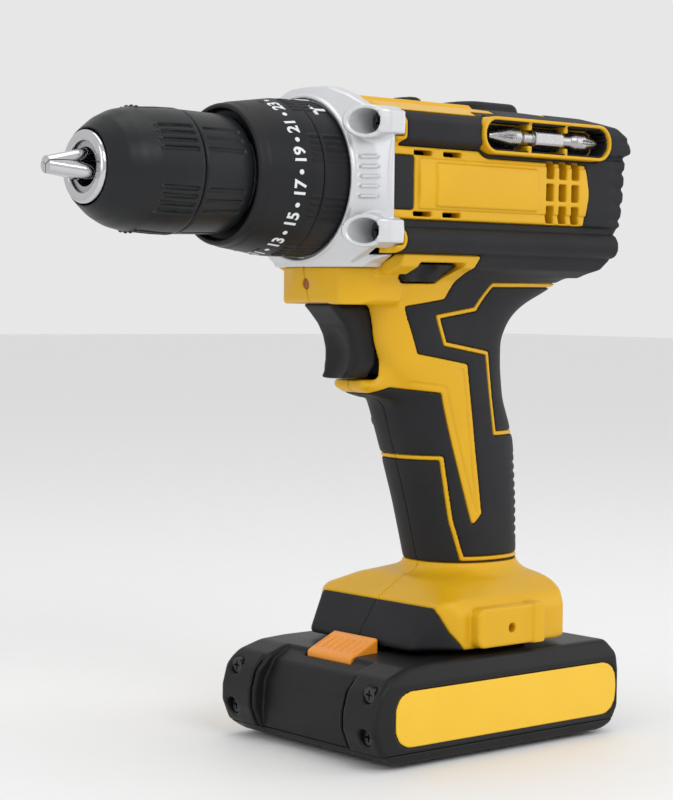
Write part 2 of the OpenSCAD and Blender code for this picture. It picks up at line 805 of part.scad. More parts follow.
// Ribs and screw posts that stand inside the shells.
module inner_ribs() {
  intersection() {
    body_form(-rubber - wall + eps);
    difference() {
      union() {
        for (x = rib_xs) box([x - 1, -40, 150.5], [x + 1, 40, 202]);
        for (p = screw_posts) cross_pin(p[0], p[1], -40, 40, post_r);
        at_bosses(26, nose_x - 3.6, 4);
        on_both_sides()
          box([tray_x - 2, tray_y - 2, tray_z - tray_half - 2], [tray_end_x + 2, 40, 197]);
      }
      rod_x(-60, can_end_x + 3, motor_r + fit);
      rod_x(can_end_x, 60, case_r + fit);
    }
  }
}

// Holes of the housing screws: heads sink into the right shell.
module screw_holes() {
  for (p = screw_posts) {
    cross_pin(p[0], p[1], head_y - 1, 10, 1.3);
    cross_pin(p[0], p[1], -50, head_y, 3);
  }
  at_bosses(25.5, nose_x, 1.55);
}

// Two clips in each tray, open outwards.
module tray_clips() {
  on_both_sides() for (x = [-24.6, -8.4]) difference() {
    box([x - 0.9, tray_y - 0.1, tray_z - tray_half - 0.1],
      [x + 0.9, 33.4, tray_z + tray_half + 0.1]);
    translate([x - 2, bit_y, tray_z]) rotate([0, 90, 0]) cylinder(h = 4, r = bit_neck_r + 0.08);
    box([x - 2, bit_y, tray_z - bit_neck_r - 0.08], [x + 2, 40, tray_z + bit_neck_r + 0.08]);
  }
}

module belt_boss() {
  on_both_sides() difference() {
    box([-15.3, 30, 32.5], [15, 37, 44.9]);
    box([-9, 34, 43], [4, 35.6, 50]);
  }
}

module shell(side) {
  color(yellow) keep_side(side) difference() {
    union() {
      difference() {
        union() {
          body_form(-rubber);
          intersection() {
            body_form(0);
            pattern_prism(0);
          }
          belt_boss();
        }
        body_form(-rubber - wall);
        long_prism(both_sides(barrel_half), 20, 60, -rubber - wall);
      }
      inner_ribs();
    }
    difference() {
      body_openings();
      tray_clips();
    }
    screw_holes();
    on_both_sides() cross_pin(belt_screw[0], belt_screw[1], 27, 40, 1.5);
  }
}

module housing_left() { shell(1); }
module housing_right() { shell(-1); }

module grip(side) {
  color(black) keep_side(side) difference() {
    body_form(0);
    body_form(-rubber + 0.01);
    long_prism(both_sides(barrel_half), 20, 60, -rubber - wall);
    pattern_prism(0.05);
    body_openings();
    screw_holes();
  }
}

module grip_rubber_left() { grip(1); }
module grip_rubber_right() { grip(-1); }

module housing_screws() {
  color(steel) difference() {
    for (p = screw_posts) union() {
      cross_pin(p[0], p[1], head_y - 0.5, 9.5, 1.25);
      cross_pin(p[0], p[1], head_y - 2.4, head_y - 0.1, 2.8);
    }
    for (p = screw_posts) translate([p[0], head_y - 2.4, p[1]]) {
      cube([3.2, 2, 0.7], center = true);
      cube([0.7, 2, 3.2], center = true);
    }
  }
}

// ---- Controls --------------------------------------------------------------

trigger_side = [[49.5, 137.7], [46.2, 134.8], [43.2, 131.4], [41.3, 128], [40.3, 124.4],
  [40.2, 120.6], [41.1, 117.8], [42.8, 115.4], [40, 114.9], [35.5, 115.4], [32.6, 118.6],
  [31.6, 122.8], [32, 130], [33.5, 134.5], [37.7, 137.7]];
trigger_half = [[0, 114], [5, 114], [7.2, 116], [7.8, 125], [7.8, 137], [7, 138.2], [0, 138.2]];
trigger_spring_z = 126;
switch_x = -4;
switch_end_x = 23.8;

module trigger() {
  color(black) difference() {
    intersection() {
      side_prism(trigger_side, -7.8, 7.8);
      long_prism(both_sides(trigger_half), 25, 70);
    }
    translate([30, 0, trigger_spring_z]) rotate([0, 90, 0]) cylinder(h = 7.6, r = 4.4);
  }
}

module trigger_spring() {
  color(steel) coil([24.4, 0, trigger_spring_z], [1, 0, 0], [0, 1, 0], 12.8, 3.4, 0.45, 6);
}

module switch_module() {
  color(black) union() {
    box([switch_x, -9.5, 116], [switch_end_x, 9.5, 139.6]);
    box([switch_x + 4, -7, 139.5], [switch_x + 20, 7, 142.4]);
  }
}

module direction_button() {
  color(black) difference() {
    side_prism(button_side, -26.4, 26.4);
    centred_box(20, 36, 9, 140, 146.4);
  }
}

module speed_selector() {
  color(black) union() {
    intersection() {
      centred_box(7.7, 19.2, 4.7, spindle_z + 22.4, 204);
      cross_pin(13.45, 194.2, -10, 10, 8.6);
    }
    centred_box(3.4, fork_x + fork_w, 6.4, selector_plate_z, selector_plate_z + 1);
  }
}

module work_light() {
  color(silver) union() {
    translate([49.7, 0, light_z]) rotate([0, 90, 0]) cylinder(h = 1.1, r = 2.25);
    translate([50, 0, light_z]) rotate([0, 90, 0]) cylinder(h = 3.1, r = 1.5);
  }
}

// Two leads from the terminals up to the switch, and two on to the motor.
module wiring() {
  color("#b03028") for (side = [-1, 1]) {
    wire([[4, 4 * side, 115.5], [2, 5 * side, 108], [-6, 6 * side, 92], [-11, 7 * side, 70],
      [-14, 7 * side, 50], [-13, 7 * side, 36.3]], 1.1, 8, [0, 1, 0]);
    wire([[-5, 5 * side, 130], [-12, 7 * side, 136], [-22, 9 * side, 141.5],
      [-32, 9 * side, 146.6], [-38.5, 9 * side, 151.6], [-41.3, 9 * side, 155],
      [-41.3, 9 * side, 158.9]], 1.1, 8, [0, 1, 0]);
  }
}

bit_y = 31.3;
bit_r = 3.2;
bit_neck_r = 2.3;

// Double-ended driver bit: hexagonal middle, two necks and two cross tips.
module driver_bit() {
  end = [[-41, 0], [-41, 0.8], [-38.5, 1.6], [-33, bit_r], [-29, bit_r], [-27, bit_neck_r],
    [-22.6, bit_neck_r], [-22.6, 0]];
  color(silver) translate([0, bit_y, tray_z]) rotate([0, 90, 0]) union() {
    translate([0, 0, -22.7]) cylinder(h = 12.4, r = bit_r / cos(30), $fn = 6);
    for (flip = [0, 1]) translate([0, 0, flip * -33]) mirror([0, 0, flip]) difference() {
      rotate_extrude() polygon([for (p = end) [p[1], p[0]]]);
      for (turn = [45:90:315]) rotate([0, 0, turn])
        translate([0.7, 0.7, -42]) rotate([-12, 12, 0]) cube([4, 4, 8]);
    }
  }
}

// ---- Battery ---------------------------------------------------------------

seam_z = 4.2;
pack_side = [[-41.5, 0], [-46.5, 2.5], [-49.6, 8], [-49.6, 20], [-48.6, 26], [-45, pack_h],
  [32, pack_h], [42, 29.6], [50, 27], [54.5, 22.5], [56.3, 16], [56.3, 11], [53.5, 4.5], [48, 0.8],
  [43.6, 0]];
pack_half = [[0, 0], [34.5, 0], [36.8, 1.4], [pack_half_w, 4], [pack_half_w, 24.6], [35.2, pack_h],
  [0, pack_h]];
front_cut = [[42.2, 27.2], [47.5, 24.6], [50.2, 19], [50.2, 6], [43.6, -1], [60, -1], [60, 40],
  [42.2, 40]];
ceiling_z = 22.3;
channel_z = 23.3;
channel_x = 26.5;
flange_z = 26;
tongue_flange = 21;
cell_z = 11.7;
board_z = 21.1;
label_side = [[-48.3, 14.45], [-48.3, 10.5], [-46.9, 7.6], [-43, 5.7], [43, 5.7], [46.9, 7.6],
  [48.3, 10.5], [48.3, 18.4], [46.9, 21.3], [43, 23.2], [-43, 23.2], [-46.9, 21.3], [-48.3, 18.4]];
ear_screws = [[32, 22.4], [32, 9.7]];
blade_ys = [-12, -4, 4, 12];

module pack_form() {
  difference() {
    intersection() {
      side_prism(pack_side, -60, 60);
      long_prism(both_sides(pack_half), -60, 60);
    }
    side_prism(front_cut, -20.5, 20.5);
  }
}

// Cylinders at the four screws in the pack's front corners.
module at_ears(x0, x1, r) {
  on_both_sides() for (p = ear_screws)
    translate([x0, p[0], p[1]]) rotate([0, 90, 0]) cylinder(h = x1 - x0, r = r);
}

module battery_case_lower() {
  color(black) difference() {
    intersection() {
      pack_form();
      centred_box(-60, 60, 60, -1, seam_z - 0.03);
    }
    centred_box(-47.4, 48.2, 35, 2.2, seam_z + 1);
  }
}

module battery_case_upper() {
  color(black) difference() {
    intersection() {
      pack_form();
      centred_box(-60, 60, 60, seam_z, 60);
    }
    centred_box(-47.4, 48.2, 35, seam_z - 1, ceiling_z);
    // Channel that the tool's tongue slides along, open to the rear
    centred_box(-60, channel_x, tongue_flange + gap, channel_z, flange_z + 0.2);
    centred_box(-60, channel_x, tongue_neck + gap, channel_z, 40);
    // Latch pocket
    centred_box(30.7, 42.8, 10.9, 23.7, 40);
    at_ears(52.2, 60, 2.6);
    at_ears(48.8, 60, 1.25);
    on_both_sides() side_prism(label_side, pack_half_w - 0.5, pack_half_w + 2);
    for (y = blade_ys) box([17.5, y - 1.6, board_z], [25.6, y + 1.6, channel_z + 1]);
  }
}

module battery_cells() {
  color(steel) for (i = [-2:2])
    cross_pin(i * cell_pitch, cell_z, -32.5, 32.5, cell_r);
}

// Circuit board over the cells with a spring clip for each blade of the tool.
module battery_board() {
  color("#2f6b3a") union() {
    centred_box(-40, 40, 26, board_z, board_z + 0.9);
    for (y = blade_ys) for (side = [-1, 1])
      box([18, y + side * 0.9 - 0.4, board_z + 0.8], [25.2, y + side * 0.9 + 0.4, 28.6]);
  }
}

module battery_labels() {
  color(yellow) on_both_sides()
    side_prism(label_side, pack_half_w - 0.49, pack_half_w, -0.1);
}

module battery_screws() {
  color(steel) difference() {
    union() {
      at_ears(52.25, 54, 2.4);
      at_ears(48.9, 52.3, 1.2);
    }
    on_both_sides() for (p = ear_screws) translate([54, p[0], p[1]]) {
      cube([1.6, 2.8, 0.6], center = true);
      cube([1.6, 0.6, 2.8], center = true);
    }
  }
}

module battery_latch() {
  color(orange) difference() {
    side_prism([[31.3, 32.6], [31.3, 26.6], [41.4, 26.6], [42.4, 27.4], [42.4, 29.8], [37, 31.2]],
      -10.5, 10.5);
    for (i = [-3:3]) translate([36.5, 2.6 * i, 32.4]) rotate([0, 9, 0])
      cube([8, 0.5, 2.2], center = true);
    translate([35, 0, 26]) cylinder(h = 3.6, r = 3.4);
  }
}

module latch_spring() {
  color(steel) coil([35, 0, 24.15], [0, 0, 1], [1, 0, 0], 4.9, 2.7, 0.35, 4);
}

// Plate with a T-shaped tongue that slides into the pack, and four blades.
module terminal_block() {
  color(black) union() {
    centred_box(-27, 15.5, tongue_flange, channel_z + 0.3, flange_z - 0.1);
    centred_box(-27, 15.5, tongue_neck, flange_z - 0.2, 34.8);
    centred_box(-27, 20, tongue_neck + 3, 34.7, 36.2);
    for (y = blade_ys) box([10, y - 0.4, 24.6], [25, y + 0.4, 28.2]);
  }
}

// ---- Assembly --------------------------------------------------------------

housing_left();
housing_right();
grip_rubber_left();
grip_rubber_right();
nose_casting();
nose_screws();
housing_screws();
work_light();
switch_module();
terminal_block();
wiring();
motor_can();
motor_magnets();
motor_end_cap();
motor_brushes();
gearbox_case();
ring_gear();
clutch_ring_gear();
clutch_pins();
clutch_spring();
spindle_bearings();
torque_ring();
mode_ring();
speed_selector();
shift_fork();
shift_ring_gear();
trigger();
trigger_spring();
direction_button();
driver_bit();
spindle();
chuck_body();
chuck_screw();
chuck_rear_sleeve();
chuck_nose_ring();
chuck_front_sleeve();
chuck_nut();
jaw_1();
jaw_2();
jaw_3();
first_carrier();
second_carrier();
second_planets();
first_planet_1();
first_planet_2();
first_planet_3();
third_planet_1();
third_planet_2();
third_planet_3();
motor_shaft();
armature();
cooling_fan();
battery_case_lower();
battery_case_upper();
battery_cells();
battery_board();
battery_labels();
battery_screws();
battery_latch();
latch_spring();
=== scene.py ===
"""Looks of the cordless drill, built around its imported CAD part.

Each moulded piece is a signed distance field in millimetres, in the row frame: X along the
spindle towards the chuck, Y to the drill's left, Z up. A field is negative inside its piece.
surface() meshes it, and a piece rides on the CAD body whose node it stands for.
"""

import math
from concurrent.futures import ThreadPoolExecutor

import bpy
import numpy as np
from mathutils import Matrix, Vector


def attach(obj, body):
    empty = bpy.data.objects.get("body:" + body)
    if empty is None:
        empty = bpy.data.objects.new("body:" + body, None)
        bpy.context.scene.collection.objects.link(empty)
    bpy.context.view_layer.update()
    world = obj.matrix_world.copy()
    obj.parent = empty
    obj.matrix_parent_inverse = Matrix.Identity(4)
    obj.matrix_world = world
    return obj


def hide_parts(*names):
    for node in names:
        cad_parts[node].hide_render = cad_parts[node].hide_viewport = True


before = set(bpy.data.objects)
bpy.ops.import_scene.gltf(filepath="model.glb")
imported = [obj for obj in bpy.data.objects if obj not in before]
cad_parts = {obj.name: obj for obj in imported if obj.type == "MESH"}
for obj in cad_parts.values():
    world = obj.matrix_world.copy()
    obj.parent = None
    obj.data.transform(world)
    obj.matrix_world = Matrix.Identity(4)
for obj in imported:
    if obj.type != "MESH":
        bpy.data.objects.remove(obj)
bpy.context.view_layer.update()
scene = bpy.context.scene

MM = 0.001
SPINDLE_Z = 175.5
COARSE = 1.0

# ---- Meshing of distance fields ---------------------------------------------------

BLOCK = 4  # nodes along the side of a block that is sampled together
CHUNK = 60000  # points that one thread evaluates at a time
SLACK = 1.5  # how far a field may understate the distance to its surface
NUDGE = 0.04  # step of the finite differences, mm
LEAST_FACES = 60  # smaller loose islands are dropped

threads = ThreadPoolExecutor(4)


def sample(field, points):
    """The field at (n, 3) points."""
    parts = [points[i:i + CHUNK] for i in range(0, len(points), CHUNK)]
    values = threads.map(lambda p: np.asarray(field(p[:, 0], p[:, 1], p[:, 2]), np.float32), parts)
    return np.concatenate(list(values)) if parts else np.zeros(0, np.float32)


def gradient(field, points, values):
    """Forward differences of the field along X, Y and Z."""
    steps = NUDGE * np.eye(3, dtype=np.float32)
    return np.stack([sample(field, points + s) - values for s in steps], 1) / NUDGE


def repeat_blocks(values, blocks):
    grid = values.reshape(blocks)
    for axis in range(3):
        grid = np.repeat(grid, BLOCK, axis)
    return grid


def fill_grid(field, low, step, blocks):
    """Values at every node. Blocks far from the surface only hold the value at their centre."""
    axes = [low[i] + step * (BLOCK * np.arange(blocks[i]) + (BLOCK - 1) / 2) for i in range(3)]
    centres = np.stack(np.meshgrid(*axes, indexing="ij"), -1).reshape(-1, 3).astype(np.float32)
    values = sample(field, centres)
    near = repeat_blocks(np.abs(values) < step * BLOCK * SLACK, blocks)
    grid = repeat_blocks(values, blocks)
    nodes = np.argwhere(near)
    grid[near] = sample(field, (low + step * nodes).astype(np.float32))
    return grid


def corner_count(inside):
    """How many of each cell's eight corners lie inside."""
    count = inside.astype(np.int8)
    for axis in range(3):
        size = count.shape[axis]
        count = count.take(range(size - 1), axis) + count.take(range(1, size), axis)
    return count


def cell_points(grid, cells):
    """Mean crossing of each cell's edges, in cell units."""
    total = np.zeros((len(cells), 3))
    hits = np.zeros(len(cells))
    for axis in range(3):
        others = [a for a in range(3) if a != axis]
        for corner in ((0, 0), (0, 1), (1, 0), (1, 1)):
            start = np.zeros(3, int)
            start[others] = corner
            end = start.copy()
            end[axis] = 1
            g0 = grid[tuple((cells + start).T)]
            g1 = grid[tuple((cells + end).T)]
            crosses = (g0 < 0) != (g1 < 0)
            share = np.where(crosses, g0 / np.where(crosses, g0 - g1, 1), 0)
            total[crosses] += start
            total[:, axis] += share
            hits += crosses
    return cells + total / hits[:, None]


def cell_quads(inside, number):
    """One quad round each grid edge that crosses the surface, facing out."""
    quads = []
    for axis in range(3):
        size = inside.shape[axis]
        first = inside.take(range(size - 1), axis)
        change = first != inside.take(range(1, size), axis)
        b, c = (axis + 1) % 3, (axis + 2) % 3
        edges = np.argwhere(change)
        edges = edges[(edges[:, b] > 0) & (edges[:, c] > 0)]
        edges = edges[(edges[:, b] < inside.shape[b] - 1) & (edges[:, c] < inside.shape[c] - 1)]
        ring = []
        for db, dc in ((1, 1), (0, 1), (0, 0), (1, 0)):
            cell = edges.copy()
            cell[:, b] -= db
            cell[:, c] -= dc
            ring.append(number[tuple(cell.T)])
        ring = np.stack(ring, 1)
        outwards = first[tuple(edges.T)]
        quads.append(np.where(outwards[:, None], ring, ring[:, ::-1]))
    return np.concatenate(quads)


def large_islands(count, faces):
    """Keeps the faces of islands of at least LEAST_FACES."""
    labels = np.arange(count)
    while True:
        lowest = labels[faces].min(1)
        new = labels.copy()
        np.minimum.at(new, faces.ravel(), np.repeat(lowest, faces.shape[1]))
        new = new[new]
        if np.array_equal(new, labels):
            break
        labels = new
    island = labels[faces[:, 0]]
    sizes = np.bincount(island, minlength=count)
    return faces[sizes[island] >= LEAST_FACES]


def surface(field, low, high, step):
    """Vertices in mm and quads of the field's zero surface inside a box."""
    step = step * COARSE
    low = np.asarray(low, float) - 1.5 * step
    blocks = np.ceil((np.asarray(high, float) + 1.5 * step - low) / (step * BLOCK)).astype(int)
    grid = fill_grid(field, low, step, blocks)
    inside = grid < 0
    count = corner_count(inside)
    cells = np.argwhere((count > 0) & (count < 8))
    number = np.full(count.shape, -1)
    number[tuple(cells.T)] = np.arange(len(cells))
    points = (low + step * cell_points(grid, cells)).astype(np.float32)
    for _ in range(3):
        values = sample(field, points)
        slope = gradient(field, points, values)
        move = -slope * (values / np.maximum((slope**2).sum(1), 0.2))[:, None]
        points += np.clip(move, -0.5 * step, 0.5 * step)
    faces = large_islands(len(points), cell_quads(inside, number))
    used, faces = np.unique(faces, return_inverse=True)
    return points[used], faces.reshape(-1, 4)


def add_piece(name, points, faces, body, material, nodes=(), flat=False):
    """A mesh piece from points in mm that rides on a CAD body and stands for CAD nodes."""
    mesh = bpy.data.meshes.new(name)
    mesh.from_pydata((np.asarray(points, float) * MM).tolist(), [], [list(f) for f in faces])
    mesh.validate()
    mesh.polygons.foreach_set("use_smooth", [not flat] * len(mesh.polygons))
    mesh.materials.append(material)
    piece = bpy.data.objects.new(name, mesh)
    scene.collection.objects.link(piece)
    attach(piece, body)
    if nodes:
        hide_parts(*nodes)
    return piece


def mould(name, field, low, high, step, body, material, nodes=()):
    """A piece from its distance field."""
    points, faces = surface(field, low, high, step)
    return add_piece(name, points, faces, body, material, nodes)


def mould_pair(stem, field, low, high, step, body, material, node_stem):
    """Left and right pieces from one field that is drawn for the left side."""
    points, faces = surface(field, low, high, step)
    add_piece(stem + "_left", points, faces, body, material, [node_stem + "_left"])
    add_piece(stem + "_right", points * [1, -1, 1], faces[:, ::-1], body, material,
              [node_stem + "_right"])


# ---- Shapes -----------------------------------------------------------------------


def rounded(points, radius, steps=5):
    """The outline with its corners rounded; radius is one number, or one for each corner."""
    p = np.asarray(points, float)
    radii = np.broadcast_to(radius, len(p))
    out = []
    for before, corner, after, r in zip(np.roll(p, 1, 0), p, np.roll(p, -1, 0), radii):
        back, ahead = before - corner, after - corner
        length_back, length_ahead = np.linalg.norm(back), np.linalg.norm(ahead)
        back, ahead = back / length_back, ahead / length_ahead
        half = 0.5 * math.acos(np.clip(back @ ahead, -1, 1))
        reach = min(r / max(math.tan(half), 1e-6), 0.45 * length_back, 0.45 * length_ahead)
        if reach < 0.02:
            out.append(corner)
            continue
        for t in np.linspace(0, 1, steps):
            out.append(corner + (1 - t) ** 2 * reach * back + t**2 * reach * ahead)
    return np.array(out)


def polygon_distance(points, u, v):
    """Signed distance to a closed outline, negative inside."""
    best = np.full(u.shape, 1e9)
    inside = np.zeros(u.shape, bool)
    for (ax, ay), (bx, by) in zip(points, np.roll(points, -1, 0)):
        ex, ey = bx - ax, by - ay
        wx, wy = u - ax, v - ay
        t = np.clip((wx * ex + wy * ey) / max(ex * ex + ey * ey, 1e-9), 0, 1)
        best = np.minimum(best, (wx - ex * t) ** 2 + (wy - ey * t) ** 2)
        if ay != by:
            inside ^= ((ay > v) != (by > v)) & (wx < ex * (v - ay) / ey)
    return np.where(inside, -1, 1) * np.sqrt(best)


class Table:
    """A function of two coordinates, read from a fine grid."""

    def __init__(self, function, low, high, step=0.35):
        self.low, self.step = np.asarray(low, float), step
        counts = np.ceil((np.asarray(high) - self.low) / step).astype(int) + 1
        axes = [self.low[i] + step * np.arange(counts[i]) for i in range(2)]
        self.values = function(*np.meshgrid(*axes, indexing="ij")).astype(np.float32)
        self.top = counts - 1.001

    def __call__(self, u, v):
        gu = np.clip((u - self.low[0]) / self.step, 0, self.top[0])
        gv = np.clip((v - self.low[1]) / self.step, 0, self.top[1])
        i, j = gu.astype(np.int32), gv.astype(np.int32)
        fu, fv = gu - i, gv - j
        near = self.values[i, j] * (1 - fv) + self.values[i, j + 1] * fv
        far = self.values[i + 1, j] * (1 - fv) + self.values[i + 1, j + 1] * fv
        beyond = np.hypot(u - self.low[0] - gu * self.step, v - self.low[1] - gv * self.step)
        return (near * (1 - fu) + far * fu + beyond).astype(np.float32)


def outline(points, radius=0.0, margin=7.0, step=0.35):
    """Table of the distance to a closed outline with rounded corners."""
    shape = rounded(points, radius)
    low, high = shape.min(0) - margin, shape.max(0) + margin
    return Table(lambda u, v: polygon_distance(shape, u, v), low, high, step)


def section(half, radii):
    """Table of a closed outline from its right half of [y, z] points, both ends on y = 0."""
    points = half + [[-y, z] for y, z in reversed(half[1:-1])]
    return outline(points, radii + radii[-2:0:-1])


def plan(left, radii):
    """Table of a closed outline from its half of [x, y] points with y below 0."""
    return outline(left + [[x, -y] for x, y in reversed(left)], radii + radii[::-1])


def cut(a, b, r=0.0):
    """Intersection with a rounded edge."""
    if not r:
        return np.maximum(a, b)
    return np.minimum(-r, np.maximum(a, b)) + np.hypot(np.maximum(a + r, 0), np.maximum(b + r, 0))


def join(a, b, r=0.0):
    """Union with a filled corner."""
    if not r:
        return np.minimum(a, b)
    return np.maximum(r, np.minimum(a, b)) - np.hypot(np.maximum(r - a, 0), np.maximum(r - b, 0))


def carve(a, b, r=0.0):
    """a without b."""
    return cut(a, -b, r)


def slab(t, low, high):
    return np.maximum(low - t, t - high)


def block(x, y, z, low, high, r=0.0):
    """Box from corner to corner with rounded edges."""
    d = [np.maximum(lo + r - t, t - hi + r) for t, lo, hi in zip((x, y, z), low, high)]
    outside = np.sqrt(sum(np.maximum(v, 0) ** 2 for v in d))
    return outside + np.minimum(np.maximum(np.maximum(d[0], d[1]), d[2]), 0) - r


def rect(u, v, low, high, r=0.0):
    """Rectangle with rounded corners in a plane."""
    du = np.maximum(low[0] + r - u, u - high[0] + r)
    dv = np.maximum(low[1] + r - v, v - high[1] + r)
    return np.hypot(np.maximum(du, 0), np.maximum(dv, 0)) + np.minimum(np.maximum(du, dv), 0) - r


def stadium(u, v, u0, u1, v_mid, r):
    """Flat shape round the line from u0 to u1."""
    return np.hypot(u - np.clip(u, u0, u1), v - v_mid) - r


def segment(u, v, start, end):
    """Distance in a plane to a line between two points."""
    ex, ey = end[0] - start[0], end[1] - start[1]
    t = np.clip(((u - start[0]) * ex + (v - start[1]) * ey) / (ex * ex + ey * ey), 0, 1)
    return np.hypot(u - start[0] - ex * t, v - start[1] - ey * t)


def ease(low, high, t):
    """0 below low, 1 above high, smooth between."""
    s = np.clip((t - low) / (high - low), 0, 1)
    return s * s * (3 - 2 * s)


def from_axis(y, z):
    """Distance from the spindle axis."""
    return np.hypot(y, z - SPINDLE_Z)


def lathe(profile, radius=0.3, step=0.2):
    """Table of a turned shape from [x, r] points; those with r 0 are taken past the axis."""
    points = [[x, r if r > 0 else -40] for x, r in profile]
    return outline(points, radius, margin=4.0, step=step)


def wedge_offset(y, z, count, start=0.0):
    """Sideways distance from the nearest of count equally spaced radial planes."""
    turn = np.arctan2(y, z - SPINDLE_Z) + math.radians(start)
    part = 2 * math.pi / count
    return from_axis(y, z) * np.sin((turn + part / 2) % part - part / 2)


# ---- Materials --------------------------------------------------------------------


def tone(colour, factor):
    return tuple(min(1.0, c * factor) for c in colour) + (1.0,)


def put(node, **values):
    """Sets a node's inputs; an underscore stands for a space in their names."""
    for key, value in values.items():
        node.inputs[key.replace("_", " ")].default_value = value
    return node


def material(name, colour, roughness, grain, depth, spread=0.05, metallic=0.0, coat=0.0,
             rough_spread=0.06, speck=0.0, specular=0.5):
    """Procedural finish: fine grain in the surface and cloudy colour and roughness."""
    made = bpy.data.materials.new(name)
    made.use_nodes = True
    nodes, links = made.node_tree.nodes, made.node_tree.links
    shader = nodes["Principled BSDF"]
    put(shader, Metallic=metallic, Coat_Weight=coat, Coat_Roughness=0.25,
        Specular_IOR_Level=specular)
    place = nodes.new("ShaderNodeTexCoord")

    def noise(scale, detail):
        node = put(nodes.new("ShaderNodeTexNoise"), Scale=scale, Detail=detail)
        links.new(place.outputs["Object"], node.inputs["Vector"])
        return node.outputs["Fac"]

    def ramp(source, *stops):
        node = nodes.new("ShaderNodeValToRGB")
        for element, (position, shade) in zip(node.color_ramp.elements, stops):
            element.position, element.color = position, shade
        links.new(source, node.inputs["Fac"])
        return node.outputs["Color"]

    clouds, fine = noise(60.0, 3.0), noise(1.0 / (grain * MM), 2.0)
    colour_out = ramp(clouds, (0.3, tone(colour, 1 - spread)), (0.7, tone(colour, 1 + spread)))
    if speck:
        specks = ramp(fine, (0.35, (1 - speck,) * 3 + (1.0,)), (0.6, (1.0, 1.0, 1.0, 1.0)))
        mix = nodes.new("ShaderNodeMix")
        mix.data_type = "RGBA"
        mix.blend_type = "MULTIPLY"
        mix.inputs["Factor"].default_value = 1.0
        links.new(colour_out, mix.inputs[6])
        links.new(specks, mix.inputs[7])
        colour_out = mix.outputs[2]
    links.new(colour_out, shader.inputs["Base Color"])
    spread_out = put(nodes.new("ShaderNodeMapRange"), From_Min=0.3, From_Max=0.7,
                     To_Min=roughness - rough_spread, To_Max=roughness + rough_spread)
    links.new(fine, spread_out.inputs["Value"])
    links.new(spread_out.outputs["Result"], shader.inputs["Roughness"])
    bump = put(nodes.new("ShaderNodeBump"), Distance=depth * MM, Strength=0.6)
    links.new(fine, bump.inputs["Height"])
    links.new(bump.outputs["Normal"], shader.inputs["Normal"])
    return made


YELLOW = material("yellow_moulding", (0.70, 0.39, 0.008), 0.42, 0.45, 0.03, spread=0.03, coat=0.1,
                  specular=0.25)
RUBBER = material("grip_rubber", (0.014, 0.0145, 0.017), 0.6, 0.35, 0.05, spread=0.15,
                  specular=0.24)
BLACK = material("black_moulding", (0.011, 0.0115, 0.013), 0.45, 0.4, 0.03, spread=0.12,
                 specular=0.22)
PACK = material("pack_moulding", (0.0095, 0.01, 0.011), 0.42, 0.4, 0.03, spread=0.15,
                specular=0.22)
CHUCK = material("chuck_moulding", (0.011, 0.012, 0.0135), 0.38, 0.5, 0.02, spread=0.12,
                 specular=0.25)
SILVER = material("silver_paint", (0.66, 0.67, 0.69), 0.36, 0.25, 0.012, spread=0.03,
                  metallic=0.45, speck=0.06)
# Near-black steel for the screws: painted shade that stands in for the dark deep inside their bores.
SCREW_SHADE_STEEL = material("screw_steel_painted_shade", (0.06, 0.06, 0.063), 0.35, 0.5, 0.01, spread=0.1,
                      metallic=1.0)
STEEL = material("steel", (0.4, 0.4, 0.41), 0.26, 0.6, 0.008, spread=0.06, metallic=1.0)
BRIGHT = material("bright_steel", (0.56, 0.56, 0.58), 0.14, 0.8, 0.006, spread=0.05, metallic=1.0)
COPPER = material("copper", (0.6, 0.26, 0.1), 0.35, 0.5, 0.01, spread=0.1, metallic=1.0)
CELL = material("cell_wrap", (0.05, 0.2, 0.42), 0.35, 0.5, 0.01, spread=0.05)
BOARD = material("circuit_board", (0.02, 0.14, 0.05), 0.4, 0.5, 0.01, spread=0.1)
LEAD = material("lead_insulation", (0.35, 0.02, 0.015), 0.45, 0.5, 0.01, spread=0.1)
LENS = material("work_light_lens", (0.3, 0.09, 0.03), 0.16, 0.5, 0.01, spread=0.03)
ORANGE = material("orange_moulding", (0.85, 0.3, 0.015), 0.34, 0.5, 0.02, spread=0.05, coat=0.2)
INK = material("printed_white", (0.72, 0.74, 0.76), 0.5, 0.3, 0.005, spread=0.04)
LABEL = material("label_print", (0.88, 0.53, 0.012), 0.34, 0.4, 0.004, spread=0.02, coat=0.2)

# ---- Body form --------------------------------------------------------------------

SHELL_FRONT = 48.0  # the shells' front edge against the nose casting
WALL = 3.2
RUBBER_DEPTH = 1.3
GAP = 0.22  # between the grip and the yellow edges it meets
SEAM = 0.05  # half the gap between the two shells
TRAY = (-38.3, 7.3, 190.0)  # ends and height of the bit tray's middle line
TRAY_R = 4.7
RIM = 1.0  # width of the yellow edge round the tray

barrel_view = outline(
    [[-42.7, 147.4], [-46.5, 149.5], [-49.7, 153.5], [-49.7, 159.5], [-52.5, 163.5], [-54, 172],
     [-54.6, 182], [-55.2, 188.4], [-53.2, 193.3], [-50.2, 198.3], [-45, 201], [-34, 202],
     [SHELL_FRONT, 202], [SHELL_FRONT, 140], [-42.7, 140]],
    [1.5, 2, 2, 1.5, 2, 3, 4, 4, 4, 3, 3, 3, 0, 0, 0])
barrel_section = section(
    [[0, 147], [24, 147], [29.5, 149.2], [31.2, 152.5], [31.4, 163], [32.3, 163.6], [32.3, 184.7],
     [31.6, 185.4], [34.4, 186.8], [34.5, 188.2], [34.5, 192.4], [31.6, 195.6], [20, 198.9],
     [13.6, 199.9], [0, 200.2]],
    [0, 2, 2, 1, 0.4, 0.4, 0.3, 0.3, 0.8, 1, 1.5, 2, 4, 0.6, 0])
chin_view = outline([[30, 155], [55.6, 155], [54.9, 148], [52.8, 138.9], [50.6, 137.4],
                     [30, 137.4]], [0, 0, 2, 1.2, 2, 0])
